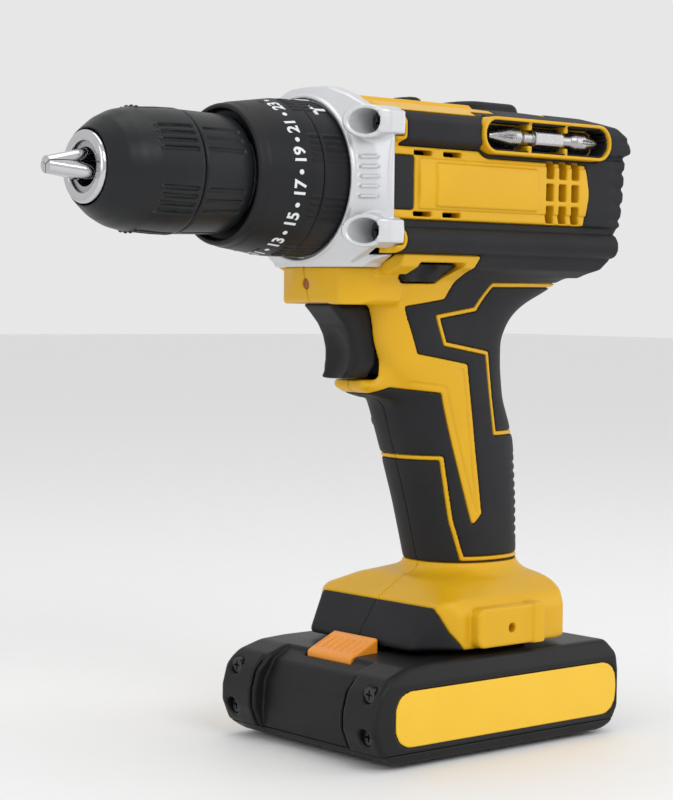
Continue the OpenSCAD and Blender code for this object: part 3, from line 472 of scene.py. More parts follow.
chin_section = section([[0, 137], [16, 137], [18.4, 139.2], [21.6, 155], [0, 155]],
                       [0, 1, 1.5, 0, 0])
chin_plan = plan([[20, -24], [34, -20.5], [43.5, -18], [51.8, -13.2], [54.9, -4]],
                 [0, 3, 2, 0.5, 5])
lip_view = outline([[10, 106], [27, 108.6], [33, 110], [36.4, 111.8], [36.4, 114.4],
                    [33.6, 115.4], [31.5, 119], [10, 124]], [0, 2, 2, 0.9, 0.8, 1, 3, 0])
foot_view = outline([[-33, 31], [-33, 45], [-31.5, 52], [-22, 53.5], [2, 53.5], [12, 51.5],
                     [22.6, 45.6], [31, 33.4], [31, 31]], [0, 3, 4, 4, 4, 6, 4, 0.5, 0])
foot_section = section([[0, 31], [33, 31], [33, 42.5], [30, 47], [22, 51], [16, 53.5], [0, 53.5]],
                       [0, 0, 3, 4, 5, 3, 0])
foot_plan = plan([[-33, -24], [-29, -32], [-25, -33], [16, -33], [24, -27], [31, -24]],
                 [2.5] * 6)

# Handle sections: height, centre, half depth, half width, squareness
HANDLE = np.array([
    [42, -15.5, 18.6, 16.8, 2.2], [58, -12.4, 19, 16.8, 2.2], [75, -9.8, 21.1, 17, 2.3],
    [95, -5.6, 23.5, 17.3, 2.4], [108, -0.6, 22.6, 17.6, 2.5], [118, 5, 26, 17.8, 3],
    [127, 7, 27.2, 17.8, 3.4], [134, 5.4, 29.6, 18.2, 3.4], [139, 3, 34, 19, 3.4],
    [144, -1.5, 41.5, 21.5, 3.6], [149.5, -2.5, 43, 25, 3.6], [153.5, -2.5, 43, 25, 3.6]])


def smoothed_columns():
    """The handle's sections between the given heights, without kinks."""
    z = np.arange(38, 158, 0.25)
    kernel = np.exp(-0.5 * (np.arange(-24, 25) / 8.0) ** 2)
    kernel /= kernel.sum()
    columns = []
    for column in HANDLE.T[1:]:
        values = np.interp(z, HANDLE[:, 0], column)
        padded = np.pad(values, 24, mode="edge")
        columns.append(np.convolve(padded, kernel, mode="valid"))
    return z, columns


handle_z, handle_columns = smoothed_columns()


def handle_place(x, y, z):
    """Place across the handle's section in half depths and half widths, and that section."""
    centre, depth, width, square = (np.interp(z, handle_z, c).astype(np.float32)
                                    for c in handle_columns)
    return np.abs(x - centre) / depth, np.abs(y) / width, depth, width, square


def handle_form(x, y, z):
    u, v, depth, width, square = handle_place(x, y, z)
    q = np.maximum((u**square + v**square) ** (1 / square), 1e-3)
    slope = np.hypot((u / q) ** (square - 1) / depth, (v / q) ** (square - 1) / width)
    side = (q - 1) / np.maximum(slope, 0.02)
    return cut(np.maximum(side, -14.0), slab(z, 42, 153.5))


def handle_facing(x, y, z):
    """How squarely the handle's surface faces sideways, from 0 to 1."""
    u, v, depth, width, square = handle_place(x, y, z)
    along, over = u ** (square - 1) / depth, v ** (square - 1) / width
    return over / np.maximum(np.hypot(along, over), 1e-4)


def rear_ribs(x, z):
    """Shallow steps round the bumper's back."""
    wave = 0.5 - 0.5 * np.cos((z - 163.0) * 2 * np.pi / 5.2)
    return 0.7 * wave**3 * ease(-46, -51, x) * ease(164, 166, z) * ease(193, 190, z)


NOTCH_X, NOTCH_Z = 41.4, 153.0  # the casting reaches back to here below its lower tabs


def body_form(x, y, z):
    """Outer form of both shells with their grip rubber."""
    barrel = cut(barrel_view(x, z), barrel_section(y, z), 2.0) + rear_ribs(x, z)
    rail = np.maximum(np.hypot(np.abs(y) - 31.0, z - 157.2) - 3.9, barrel_view(x, z) + 1.2)
    bulge = 33.4 - 0.011 * (z - 174.0) ** 2
    panel = cut(cut(np.abs(y) - bulge, slab(z, 166.4, 181.8), 0.5), slab(x, -36.6, 37.4), 0.8)
    barrel = join(join(barrel, rail, 0.4), panel)
    crest = cut(rect(x, y, (-3, -15), (60, 15), 4.0), slab(z, 190, 200.9), 1.2)
    crest = np.maximum(crest, x - SHELL_FRONT)
    hump = cut(rect(x, y, (-25.5, -13), (-4.5, 13), 4.0), slab(z, 190, 203.2 - 0.004 * y**2), 2.5)
    barrel = join(barrel, np.minimum(crest, hump), 0.5)
    barrel = np.maximum(barrel, np.minimum(x - NOTCH_X, NOTCH_Z - z))
    body = join(barrel, handle_form(x, y, z), 3.0)
    chin = cut(cut(chin_view(x, z), chin_section(y, z), 1.5), chin_plan(x, y), 0.7)
    body = join(body, chin, 1.5)
    lip = cut(lip_view(x, z), np.abs(y) - 9.6, 5.0)
    body = join(body, lip, 3.0)
    foot = cut(cut(foot_view(x, z), foot_section(y, z), 2.5), foot_plan(x, y), 2.0)
    return join(body, foot, 5.0)


# ---- Where the yellow shows -------------------------------------------------------

UPPER_PIPING = [[-60, 144.8], [-4.9, 144.3], [-0.5, 136.6], [15, 134.2], [11.4, 125.7],
                [-7.4, 122.7], [-11.5, 97], [-40, 97]]
LOWER_PIPING = [[60, 90.4], [8.6, 89.6], [3.4, 69.4], [-1, 57], [-40, 57]]
PIPING_RUNS = [(start, end) for line in (UPPER_PIPING, LOWER_PIPING)
               for start, end in zip(line, line[1:])]
PIPING_HALF = 0.6
BLADE = [[90, 153.0], [9.6, 153.0], [13.6, 139.7], [27.7, 137.4], [22, 122.6], [1.8, 119.3],
         [-6.4, 71.4], [-3.2, 67.8], [11.6, 110.4], [26.8, 112.2], [34, 110], [90, 110]]
YELLOW_AREAS = [
    (BLADE, 0.8),
    ([[90, 163.4], [-34.6, 163.4], [-36, 173], [-34.6, 184.8], [90, 184.8]], 0.8),
    ([[90, 195.6], [10, 195.4], [1, 195.8], [-3.6, 198.4], [-3.6, 212], [90, 212]], 1.5),
    ([[-60, 20], [14, 20], [14.5, 31], [19.5, 37.5], [22.5, 43.5], [22.5, 60], [11, 55.6],
      [-60, 55.6]], 1.0),
    ([[90, 184.0], [45.6, 184.0], [43.6, 187.2], [43.6, 194.6], [45.0, 196], [50, 199],
      [90, 199]], 0.5),
    ([[90, 165], [46.4, 165], [43.4, 160.0], [43.4, 154.6], [45.4, 152], [90, 150]], 0.5),
    ([[-33, 199], [-27, 199], [-26, 201], [-26, 212], [-33, 212]], 1.0),
]
PAD = ((38.6, 166.0), (49.0, 182.4))


def line_distance(x, z):
    """Distance to the piping's middle line in the side view."""
    return np.minimum.reduce([segment(x, z, start, end) for start, end in PIPING_RUNS])


def line_lean(x, z):
    """How upright the nearest stretch of piping runs in the side view, 0 to 1."""
    nearest, lean = np.full(np.shape(x), np.inf), np.zeros(np.shape(x))
    for start, end in PIPING_RUNS:
        away = segment(x, z, start, end)
        lean = np.where(away < nearest, abs(end[1] - start[1]) / math.dist(start, end), lean)
        nearest = np.minimum(nearest, away)
    return lean


def tray_shape(x, z, r):
    """Distance to the bit tray's outline at radius r."""
    return stadium(x, z, TRAY[0], TRAY[1], TRAY[2], r)


def area_distance(x, z):
    """Negative where a yellow area shows in the side view."""
    parts = [polygon_distance(rounded(points, r), x, z) for points, r in YELLOW_AREAS]
    yellow = np.maximum(np.minimum.reduce(parts), -rect(x, z, *PAD, 1.0))
    around = tray_shape(x, z, TRAY_R + 2.6)
    rim = tray_shape(x, z, TRAY_R + RIM)
    return np.minimum(np.maximum(yellow, -around), rim)


lines = Table(line_distance, (-62, 24), (80, 208), 0.3)
leans = Table(line_lean, (-62, 24), (80, 208), 0.3)
areas = Table(area_distance, (-62, 24), (80, 212), 0.3)
blade = outline(BLADE, 0.8)


def pattern(x, y, z):
    """Negative where yellow shows. Lines keep their width where the surface turns away."""
    facing = np.clip(handle_facing(x, y, z), 0.55, 1)
    half = PIPING_HALF * np.sqrt(np.clip(1 - leans(x, z) ** 2 * (1 - facing**2), 0, 1))
    return np.minimum(areas(x, z), lines(x, z) - half)


# ---- Shells and grip --------------------------------------------------------------

SELECTOR_X = 13.45
VENT_X, VENT_PITCH_X = -23.9, 5.7  # middle column of the cooling vents
VENT_Z, VENT_PITCH_Z = 173.6, 7.0
SLOT_XS, SLOT_ZS = (19.5, 31.5), (165.0, 183.2)
TAB_DZ = 16.0
CLIP_XS = (-24.6, -8.4)
BIT_Y = 31.3
BELT_SCREW = (-1.4, 37.8)
button_hole = outline([[34.2, 150.8], [33.8, 146.4], [32, 144.4], [19.4, 144.4], [13.4, 150.8]],
                      1.4, step=0.2)
flange_section = section([[0, 149.0], [20.6, 149.0], [22, 150.4], [27.5, 153.4], [27.5, 162],
                          [0, 162]], [0, 0.6, 1, 1, 0, 0])


def openings(x, y, z):
    """Everything cut through shells and grip alike."""
    tray = cut(tray_shape(x, z, TRAY_R), 27.6 - y, 1.5)
    bow = 0.012 * (z - VENT_Z) ** 2
    column = (x + bow - VENT_X + VENT_PITCH_X / 2) % VENT_PITCH_X - VENT_PITCH_X / 2
    row = (z - VENT_Z + VENT_PITCH_Z / 2) % VENT_PITCH_Z - VENT_PITCH_Z / 2
    vent = np.maximum(rect(column, row, (-1.75, -2.75), (1.75, 2.75), 0.5),
                      rect(x + bow, z, (VENT_X - 8.4, VENT_Z - 10.4), (VENT_X + 8.4, VENT_Z + 10.4)))
    vent = np.maximum(vent, 24.0 - y)
    slots = [rect(x, z, (sx, sz - 0.75), (sx + 7.5, sz + 0.75), 0.4)
             for sx in SLOT_XS for sz in SLOT_ZS]
    slot = np.maximum(np.minimum.reduce(slots), 24.0 - y)
    button = np.maximum(button_hole(x, z), 8.0 - y)
    trigger = block(x, y, z, (24.6, -20, 114.4), (80, 8.15, 138.2), 1.0)
    selector = np.maximum(np.sqrt(((x - SELECTOR_X) / 8.6) ** 2 + (y / 6.4) ** 2) * 6.4 - 6.4, 190 - z)
    tongue = block(x, y, z, (-27.3, -30, 20), (15.8, 16.7, 38), 0.5)
    light = np.maximum(np.hypot(y, z - 144.0) - 1.65, slab(x, 49, 60))
    tabs = cut(rect(np.abs(y), np.abs(z - SPINDLE_Z) - TAB_DZ, (26.6, -4.1), (42, 4.1), 0.6),
               44.4 - x)
    foot = np.maximum(148.9 - z, np.minimum(SHELL_FRONT - 0.1 - x,
                                            np.maximum(NOTCH_X - x, z - NOTCH_Z)))
    return np.minimum.reduce([tray, vent, slot, button, trigger, selector, tongue, light, tabs,
                              foot])


def hollow(x, y, z, form):
    """Space inside the shells, open at the front for the gear case."""
    front = np.maximum(barrel_section(y, z) + WALL + RUBBER_DEPTH, 20.0 - x)
    return np.minimum(form + WALL + RUBBER_DEPTH, front)


def yellow_details(x, y, z, form):
    """Bosses, frames and rims that stand on the yellow shells."""
    tray_box = block(x, y, z, (TRAY[0] - 7, 25.8, 183), (TRAY[1] + 7, 33.4, 197), 1.0)
    tray_box = np.maximum(tray_box, form + RUBBER_DEPTH)
    rim = cut(tray_shape(x, z, TRAY_R + RIM), slab(y, 30, 35.4), 0.4)
    boss = cut(rect(x, z, (-15.3, 32.3), (13.0, 44.6), 3.0), slab(y, 28, 36.2), 1.0)
    boss_end = cut(rect(x, z, (-15.3, 32.3), (-10.6, 44.9), 0.8), slab(y, 28, 36.9), 0.5)
    raised = cut(rect(x, z, (-12.6, 167.4), (30.6, 180.4), 0.8),
                 np.abs(y) - (33.9 - 0.011 * (z - 174.0) ** 2), 0.35)
    raised = np.maximum(raised, 30 - y)
    return np.minimum.reduce([tray_box, rim, join(boss, boss_end, 0.8), raised])


def yellow_cuts(x, y, z):
    """Grooves and holes in the yellow shells alone."""
    belt_hole = np.maximum(np.hypot(x - BELT_SCREW[0], z - BELT_SCREW[1]) - 1.5, 27 - y)
    belt_slot = block(x, y, z, (-9, 33.6, 43.0), (4, 35.2, 50), 0.4)
    inset = cut(np.abs(blade(x, z) + 2.0) - 0.3, rect(x, z, (-8, 72), (22, 118)))
    inset = np.maximum(inset, 10.0 - y)
    deep = -(body_form(x, y, z) + 0.45)
    return np.minimum.reduce([belt_hole, belt_slot, np.maximum(inset, deep)])


def tray_clips(x, y, z):
    """Two spring clips across the tray that hold the bit by its necks."""
    clips = [slab(x, cx - 0.9, cx + 0.9) for cx in CLIP_XS]
    clip = np.maximum(np.minimum.reduce(clips), np.abs(z - TRAY[2]) - TRAY_R - 0.5)
    clip = cut(clip, slab(y, 27.0, 33.6), 0.3)
    clip = np.maximum(clip, 2.42 - np.hypot(y - BIT_Y, z - TRAY[2]))
    return np.maximum(clip, -rect(y, z, (BIT_Y, TRAY[2] - 2.42), (50, TRAY[2] + 2.42)))


def shell(x, y, z):
    """Left yellow shell."""
    form = body_form(x, y, z)
    side = pattern(x, y, z)
    skin = join(cut(form + 0.12, side, 0.3), form + RUBBER_DEPTH)
    solid = join(np.maximum(skin, -hollow(x, y, z, form)), yellow_details(x, y, z, form), 0.3)
    solid = carve(solid, openings(x, y, z), 0.35)
    solid = carve(join(solid, tray_clips(x, y, z)), yellow_cuts(x, y, z), 0.3)
    return cut(solid, SEAM - y, 0.25)


def handle_ribs(x, y, z):
    """Fine ribs across the lower back of the grip."""
    wave = 0.5 + 0.5 * np.cos(z * 2 * np.pi / 2.9)
    edge = np.interp(z, handle_z, handle_columns[0] - handle_columns[1] * 0.62)
    return 0.45 * wave**2 * ease(edge + 3, edge - 3, x) * ease(60, 64, z) * ease(92, 86, z)


def grip(x, y, z):
    """Left half of the soft grip."""
    form = body_form(x, y, z)
    side = pattern(x, y, z)
    pillow = 0.3 * np.exp(-np.maximum(side, 0) / 0.9)
    outer = form + pillow + handle_ribs(x, y, z) - 0.05
    skin = cut(outer, GAP - side, 0.45)
    skin = np.maximum(skin, -(form + RUBBER_DEPTH - 0.05))
    skin = np.maximum(skin, -hollow(x, y, z, form))
    skin = carve(skin, tray_shape(x, z, TRAY_R + RIM + 0.1), 0.4)
    solid = carve(skin, openings(x, y, z), 0.35)
    # A thin black sheet over the tray's walls and floor, open at the clips: painted shade for the dark
    # inside the tray.
    pocket = tray_shape(x, z, TRAY_R - 0.05)
    painted_shade_liner = np.maximum(np.maximum(pocket, slab(y, 27.0, 34.4)), -np.maximum(pocket + 0.5, 27.7 - y))
    clips = np.minimum.reduce([np.abs(x - cx) for cx in CLIP_XS]) - 1.0
    solid = np.minimum(solid, np.maximum(painted_shade_liner, -clips))
    return cut(solid, SEAM - y, 0.25)


mould_pair("shell", shell, (-56, -0.2, 30), (60, 37.4, 203.4), 0.46, "body", YELLOW, "housing")
mould_pair("grip", grip, (-56, -0.2, 30), (60, 37.4, 203.4), 0.46, "body", RUBBER, "grip_rubber")

# ---- Nose casting -----------------------------------------------------------------

BOSS_Y = 29.6
BOSS_R = 4.9
BORE_R = 3.7
LIP_X = 56.6
nose_section = section([[0, 149.2], [17, 149.2], [24, 153.5], [32.8, 158.4], [33.9, 164],
                        [33.9, 187], [32.2, 192.6], [17, 200.6], [9, 203.4], [0, 203.6]],
                       [0, 1, 3, 2, 6, 6, 1, 0.5, 0.5, 0])
nose_cone = lathe([[40, 0], [40, 41], [47.9, 41], [49.2, 35.2], [52.2, 30.6], [55.6, 26.4],
                   [56.2, 25.6], [LIP_X, 25.4], [LIP_X, 0]], [0, 0, 3, 6, 8, 2, 0.4, 0.3, 0])
flange_plan = plan([[NOTCH_X + 0.1, -28], [47, -23.5], [52.6, -16.5], [LIP_X - 0.8, -7]],
                   [0, 1.5, 2, 4])


def nose(x, y, z):
    """Front casting of the gear case with its four screw bosses."""
    r = from_axis(y, z)
    side = np.abs(y)
    up = np.abs(z - SPINDLE_Z)
    body = cut(cut(nose_section(y, z), nose_cone(x, r), 0.6), SHELL_FRONT + 0.1 - x, 0.3)
    lip = cut(np.abs(r - 24.75) - 0.55, slab(x, 50, LIP_X + 0.5), 0.25)
    body = join(body, lip, 0.3)
    away = np.hypot(side - BOSS_Y, up - TAB_DZ)
    mouth = ((x - LIP_X) + 0.95 * (side - BOSS_Y)) / 1.38
    boss = cut(cut(away - BOSS_R, mouth, 0.5), 44.5 - x, 0.5)
    tab = rect(side, up - TAB_DZ, (27.5, -3.5), (34.9, 3.5), 0.7)
    tab = cut(cut(tab, slab(x, 44.8, 54.0), 0.7), side + 0.5 * (x - 48.5) - 36.2, 0.4)
    body = join(join(body, boss, 1.2), tab, 0.6)
    flange = cut(flange_plan(x, y), flange_section(y, z), 0.6)
    flange = np.maximum(flange, np.minimum(SHELL_FRONT + 0.1 - x, z - NOTCH_Z + 0.1))
    body = join(body, flange, 0.5)
    ridge = (z - SPINDLE_Z + 1.45) % 2.9 - 1.45
    tick = cut(np.abs(ridge) - 0.5, np.abs(nose_cone(x, r)) - 0.85, 0.3)
    tick = cut(tick, slab(x, 52.2, 55.6), 0.3)
    body = join(body, np.maximum(tick, up - 7.6), 0.25)
    body = carve(body, np.maximum(r - 24.2, 55.6 - x), 0.3)
    body = carve(body, np.maximum(r - 20.6, slab(x, 30, 54.0)), 0.3)
    snout = np.maximum(np.maximum(r - 14.5, 11.4 - r), slab(x, 50, 84))
    body = join(body, snout)
    body = np.maximum(body, np.where(x > 50, 11.4 - r, -9))
    bore = np.maximum(away - BORE_R, 46.6 - x)
    return carve(body, bore, 0.4)


mould("gear_nose", nose, (41, -36, 148), (84.5, 36, 203.6), 0.45, "body", SILVER,
      ["nose_casting"])

# ---- Collars ----------------------------------------------------------------------

MODE_R = 23.6
mode_profile = lathe([[56, 20.8], [56, 23.3], [56.5, 23.6], [65.9, 23.6], [66.15, 23.4],
                      [66.15, 20.8]], 0.2)
torque_profile = lathe([[66.35, 20.9], [66.35, 23.4], [66.6, 23.6], [70, 23.5], [84.4, 21.5],
                        [84.9, 21.25], [87.3, 20.9], [88, 20.3], [88, 19.4], [85.5, 19.0],
                        [85, 15], [82.4, 15], [82.4, 18.6], [70, 20]],
                       [0, 0.2, 0.2, 2, 0.3, 0.3, 0.4, 0.4, 0.3, 0.4, 0, 0, 0, 0])


def grip_groups(y, z, count, ribs, pitch, start=0.0):
    """Sideways distance from the nearest rib of count groups of ribs; pitch is in degrees."""
    turn = np.degrees(np.arctan2(y, z - SPINDLE_Z)) + start
    part = 360.0 / count
    local = (turn + part / 2) % part - part / 2
    nearest = np.clip(np.round(local / pitch + (ribs - 1) / 2), 0, ribs - 1) - (ribs - 1) / 2
    return np.radians(local - nearest * pitch) * from_axis(y, z)


def collar_ribs(x, y, z, start, end, height):
    r = from_axis(y, z)
    rib = cut(np.abs(grip_groups(y, z, 8, 5, 4.6, 20)) - 0.5, slab(x, start, end), 0.3)
    return cut(rib, np.maximum(r - MODE_R - height, 22.0 - r), 0.25)


def mode_collar(x, y, z):
    return join(mode_profile(x, from_axis(y, z)), collar_ribs(x, y, z, 57.4, 65.6, 0.35), 0.2)


def torque_collar(x, y, z):
    r = from_axis(y, z)
    ring = torque_profile(x, r)
    bar = cut(np.abs(wedge_offset(y, z, 12, 13)) - 1.6, slab(x, 76.6, 77.1), 0.2)
    bar = cut(bar, np.maximum(ring - 0.25, 20.0 - r), 0.15)
    return join(join(ring, collar_ribs(x, y, z, 66.6, 70.6, 0.3), 0.2), bar, 0.1)


mould("mode_collar", mode_collar, (55.5, -24.5, 151), (66.5, 24.5, 200), 0.4, "mode_ring", BLACK,
      ["mode_ring"])
mould("torque_collar", torque_collar, (66, -24, 151.5), (88.5, 24, 199.5), 0.42, "torque_ring",
      BLACK, ["torque_ring"])

# ---- Chuck ------------------------------------------------------------------------

rear_profile = lathe([[87.2, 15.2], [87.2, 17.2], [88, 17.6], [104.2, 18.0], [104.8, 17.5],
                      [104.8, 15.4]], 0.3)
front_profile = lathe([[105.1, 15.5], [105.1, 17.7], [105.8, 18.3], [112, 18.2], [120, 17.7],
                       [125, 16.7], [129, 14.8], [132, 12.6], [134, 11], [133.4, 10.7],
                       [131, 11.1], [126, 13.4], [122, 15], [119.4, 15.5]],
                      [0, 0.5, 0.5, 8, 12, 10, 8, 3, 0.4, 0.3, 1, 2, 2, 0])
nose_profile = lathe([[130.4, 8.2], [130.4, 10.4], [133.4, 10.5], [134.7, 10.3], [135.2, 9.6],
                      [135.2, 7.5], [134.4, 7.2], [134.2, 8.2]],
                     [0, 0.3, 0.6, 0.6, 0.6, 0.5, 0.2, 0], step=0.15)


def rear_sleeve(x, y, z):
    r = from_axis(y, z)
    sleeve = rear_profile(x, r)
    groove = cut(np.abs(grip_groups(y, z, 6, 3, 11.0)) - 0.55, slab(x, 90.2, 103.4), 0.5)
    return carve(sleeve, np.maximum(groove, 17.35 - r), 0.3)


def front_sleeve(x, y, z):
    r = from_axis(y, z)
    sleeve = front_profile(x, r)
    across = grip_groups(y, z, 6, 4, 8.0)
    groove = cut(np.abs(across) - 0.6, slab(x, 106.8, 119.6), 0.55)
    groove = np.maximum(groove, 17.55 - 0.03 * (x - 106) - r)
    sleeve = carve(sleeve, groove, 0.4)
    dome = np.sqrt((x - 119.4) ** 2 + across**2 + (r - 17.55) ** 2) - 0.75
    return join(sleeve, dome, 0.3)


mould("chuck_rear", rear_sleeve, (86.6, -18.8, 156.8), (105.4, 18.8, 194.3), 0.38, "spindle",
      CHUCK, ["chuck_rear_sleeve"])
mould("chuck_front", front_sleeve, (104.6, -19.2, 156.4), (134.6, 19.2, 194.7), 0.38,
      "chuck_sleeve", CHUCK, ["chuck_front_sleeve"])
mould("chuck_lip", lambda x, y, z: nose_profile(x, from_axis(y, z)), (130, -11, 164.5),
      (135.6, 11, 186.5), 0.3, "spindle", BRIGHT, ["chuck_nose_ring"])

# ---- Controls ---------------------------------------------------------------------

trigger_view = outline([[49.8, 137.9], [46.6, 135], [43.4, 131.6], [41.3, 128], [40.2, 124],
                        [40.2, 120.2], [41.2, 117.2], [43.2, 115], [40, 114.7], [33, 114.9],
                        [31, 118.6], [30.5, 122.8], [30.5, 130], [31.4, 134.5], [34, 137.9]],
                       [0.8, 3, 4, 4, 4, 4, 2, 1.2, 1, 1, 2, 2, 2, 2, 1])
button_view = outline([[33.8, 150.4], [33.4, 146.6], [31.8, 144.8], [19.7, 144.8], [14.1, 150.4]],
                      1.2, step=0.2)


def trigger(x, y, z):
    side = np.abs(y)
    width = 7.7 - 1.6 * ease(120, 114, z)
    solid = cut(trigger_view(x, z), side - width, 2.2)
    dish = np.sqrt((x - 49.4) ** 2 + (z - 122.0) ** 2 + (1.1 * y) ** 2) - 10.0
    solid = carve(solid, dish, 1.2)
    spring_well = np.maximum(np.hypot(y, z - 126.0) - 4.4, x - 37.6)
    return np.maximum(solid, -spring_well)


def direction_bar(x, y, z):
    side = np.abs(y)
    bar = cut(button_view(x, z) + 0.1, side - 22.4 - 1.2 * np.maximum(z - 146.5, 0), 0.8)
    finger = np.sqrt((x - 27.0) ** 2 + (z - 146.0) ** 2 + (side - 26.6) ** 2) - 5.0
    return carve(bar, finger, 0.6)


def speed_knob(x, y, z):
    across = np.sqrt(((x - SELECTOR_X) / 5.2) ** 2 + (y / 4.4) ** 2)
    knob = cut((across - 1) * 4.4, z - 203.2 + 0.02 * (x - SELECTOR_X) ** 2, 1.2)
    ribs = cut(np.abs((x - SELECTOR_X + 1.1) % 2.2 - 1.1) - 0.4, 202.5 - z, 0.2)
    knob = carve(knob, np.maximum(ribs, rect(x, y, (9.6, -3.2), (17.3, 3.2))), 0.25)
    knob = np.maximum(knob, 198.0 - z)
    plate = block(x, y, z, (3.6, -6.6, 198.1), (23.2, 6.6, 200.2), 0.3)
    return join(knob, plate, 0.3)


mould("finger_trigger", trigger, (26.5, -8, 114.5), (50, 8, 138.2), 0.4, "trigger", BLACK,
      ["trigger"])
mould("direction_bar", direction_bar, (13, -27.6, 144.3), (34.8, 27.6, 151), 0.4,
      "direction_button", BLACK, ["direction_button"])
mould("speed_knob", speed_knob, (3, -6.8, 197.6), (24, 6.8, 203.4), 0.35, "speed_selector", BLACK,
      ["speed_selector"])

# ---- Screwdriver bit --------------------------------------------------------------

bit_profile = outline([[-41, -9], [-41, 0.9], [-38.5, 1.7], [-33, 3.1], [-29, 3.1], [-27, 2.3],
                       [-22.7, 2.3], [-22.7, 3.4], [-16, 3.4], [-16, -9]],
                      [0, 0.4, 1, 0.6, 0.6, 0.4, 0.2, 0.4, 0, 0], margin=3, step=0.15)


def driver_bit(x, y, z):
    u = -16.5 - np.abs(x + 16.5)
    v, w = y - BIT_Y, z - TRAY[2]
    r = np.hypot(v, w)
    shaft = bit_profile(u, r)
    hexagon = np.maximum(np.abs(v), np.maximum(np.abs(0.5 * v + 0.866 * w),
                                               np.abs(0.5 * v - 0.866 * w))) - 3.1
    shaft = np.maximum(shaft, np.where(u > -24.0, hexagon, -5))
    a, b = np.abs(v + w) * 0.7071, np.abs(v - w) * 0.7071
    flute = 0.75 + 0.09 * (u + 41) - np.minimum(a, b)
    return np.maximum(shaft, np.where(u < -31.5, -np.maximum(flute, (u + 31.5) * 0.6), -5))


mould("driver_bit_steel", driver_bit, (-41.4, 27.8, 186.3), (8.4, 34.9, 193.7), 0.28,
      "driver_bit", STEEL, ["driver_bit"])

# ---- Battery ----------------------------------------------------------------------

PACK_W = 37.5
PACK_SLOTS = [((-70, -21.3, 23.3), (26.5, 21.3, 26.2), 0.3),  # for the rails, the neck between
              ((-70, -16.8, 23.3), (26.5, 16.8, 45), 0.3),  # them and the latch, with edge radii
              ((30.7, -10.9, 23.7), (43.4, 10.9, 45), 0.5)]
CELLS_LOW, CELLS_HIGH = (-47.4, -35), (48.2, 35)  # room for the cells, seen from above
SEAM_Z = 4.2
pack_view = outline([[-41.5, 0], [-46.5, 2.5], [-49.6, 8], [-49.6, 20], [-48.6, 26], [-45, 30.5],
                     [32, 30.5], [42, 29.6], [50, 27], [54.5, 22.5], [56.3, 16], [56.3, 11],
                     [53.5, 4.5], [48, 0.8], [43.6, 0]],
                    [3, 3, 4, 6, 3, 3, 6, 8, 5, 5, 4, 4, 4, 3, 1])
pack_section = section([[0, 0], [34.5, 0], [36.8, 1.4], [PACK_W, 4], [PACK_W, 24.6],
                        [35.2, 30.5], [0, 30.5]], [0, 1, 1, 1, 3, 2.5, 0])
front_cut = outline([[42.2, 28.2], [47.8, 25.4], [51.6, 19], [52.4, 9], [51.2, -1], [64, -1],
                     [64, 40], [42.2, 40]], [0.5, 4, 5, 4, 0, 0, 0, 0])
LABEL_SIDE = [[-48.3, 5.7], [48.3, 5.7], [48.3, 23.2], [-48.3, 23.2]]
label_view = outline(LABEL_SIDE, 8.6)


def pack_form(x, y, z):
    side = np.abs(y)
    form = cut(pack_view(x, z), pack_section(y, z), 1.6)
    return carve(form, np.maximum(front_cut(x, z), side - 20.5), 1.2)


def ear_distance(y, z):
    side = np.abs(y)
    return np.minimum(np.hypot(side - 32, z - 22.4), np.hypot(side - 32, z - 9.7))


def pack_upper(x, y, z):
    side = np.abs(y)
    form = pack_form(x, y, z)
    solid = cut(form, SEAM_Z + 0.06 - z, 0.3)
    solid = np.maximum(solid, -block(x, y, z, (*CELLS_LOW, -10), (*CELLS_HIGH, 22.3)))
    for low, high, r in PACK_SLOTS:
        solid = carve(solid, block(x, y, z, low, high), r)
    solid = carve(solid, np.maximum(ear_distance(y, z) - 2.7, 52.0 - x), 0.4)
    solid = carve(solid, np.maximum(label_view(x, z) - 0.15, PACK_W - 0.5 - side), 0.2)
    groove = cut(np.abs(side - 22.2) - 0.5, np.maximum(50.4 - x, 4 - z))
    solid = carve(solid, groove, 0.5)
    blades = np.minimum.reduce([np.abs(y - b) for b in (-12, -4, 4, 12)])
    blades = np.maximum(blades - 1.6, np.maximum(slab(x, 17.5, 25.6), slab(z, 20, 24.5)))
    return np.maximum(solid, -blades)


def pack_lower(x, y, z):
    solid = cut(pack_form(x, y, z), z - SEAM_Z + 0.06, 0.3)
    solid = np.maximum(solid, -block(x, y, z, (*CELLS_LOW, 2.2), (*CELLS_HIGH, 10)))
    ribs = np.maximum(np.abs((x + 2.0 + 4) % 8 - 4) - 0.4, rect(x, y, (-36, -26), (38, 26)))
    return carve(solid, np.maximum(ribs, z - 0.5), 0.2)


def label_plate(x, y, z):
    return cut(label_view(x, z) + 0.1, slab(y, PACK_W - 0.48, PACK_W - 0.08), 0.15)


def latch(x, y, z):
    slope = 34.6 - 0.46 * (x - 31.4)
    solid = block(x, y, z, (31.5, -10.4, 26.7), (43.0, 10.4, 37), 0.6)
    solid = cut(solid, z - slope, 0.9)
    ribs = cut(np.abs((y + 1.5) % 3.0 - 1.5) - 0.45, slope - 0.55 - z, 0.3)
    return carve(solid, np.maximum(ribs, rect(x, y, (34.4, -9.2), (40.4, 9.2))), 0.3)


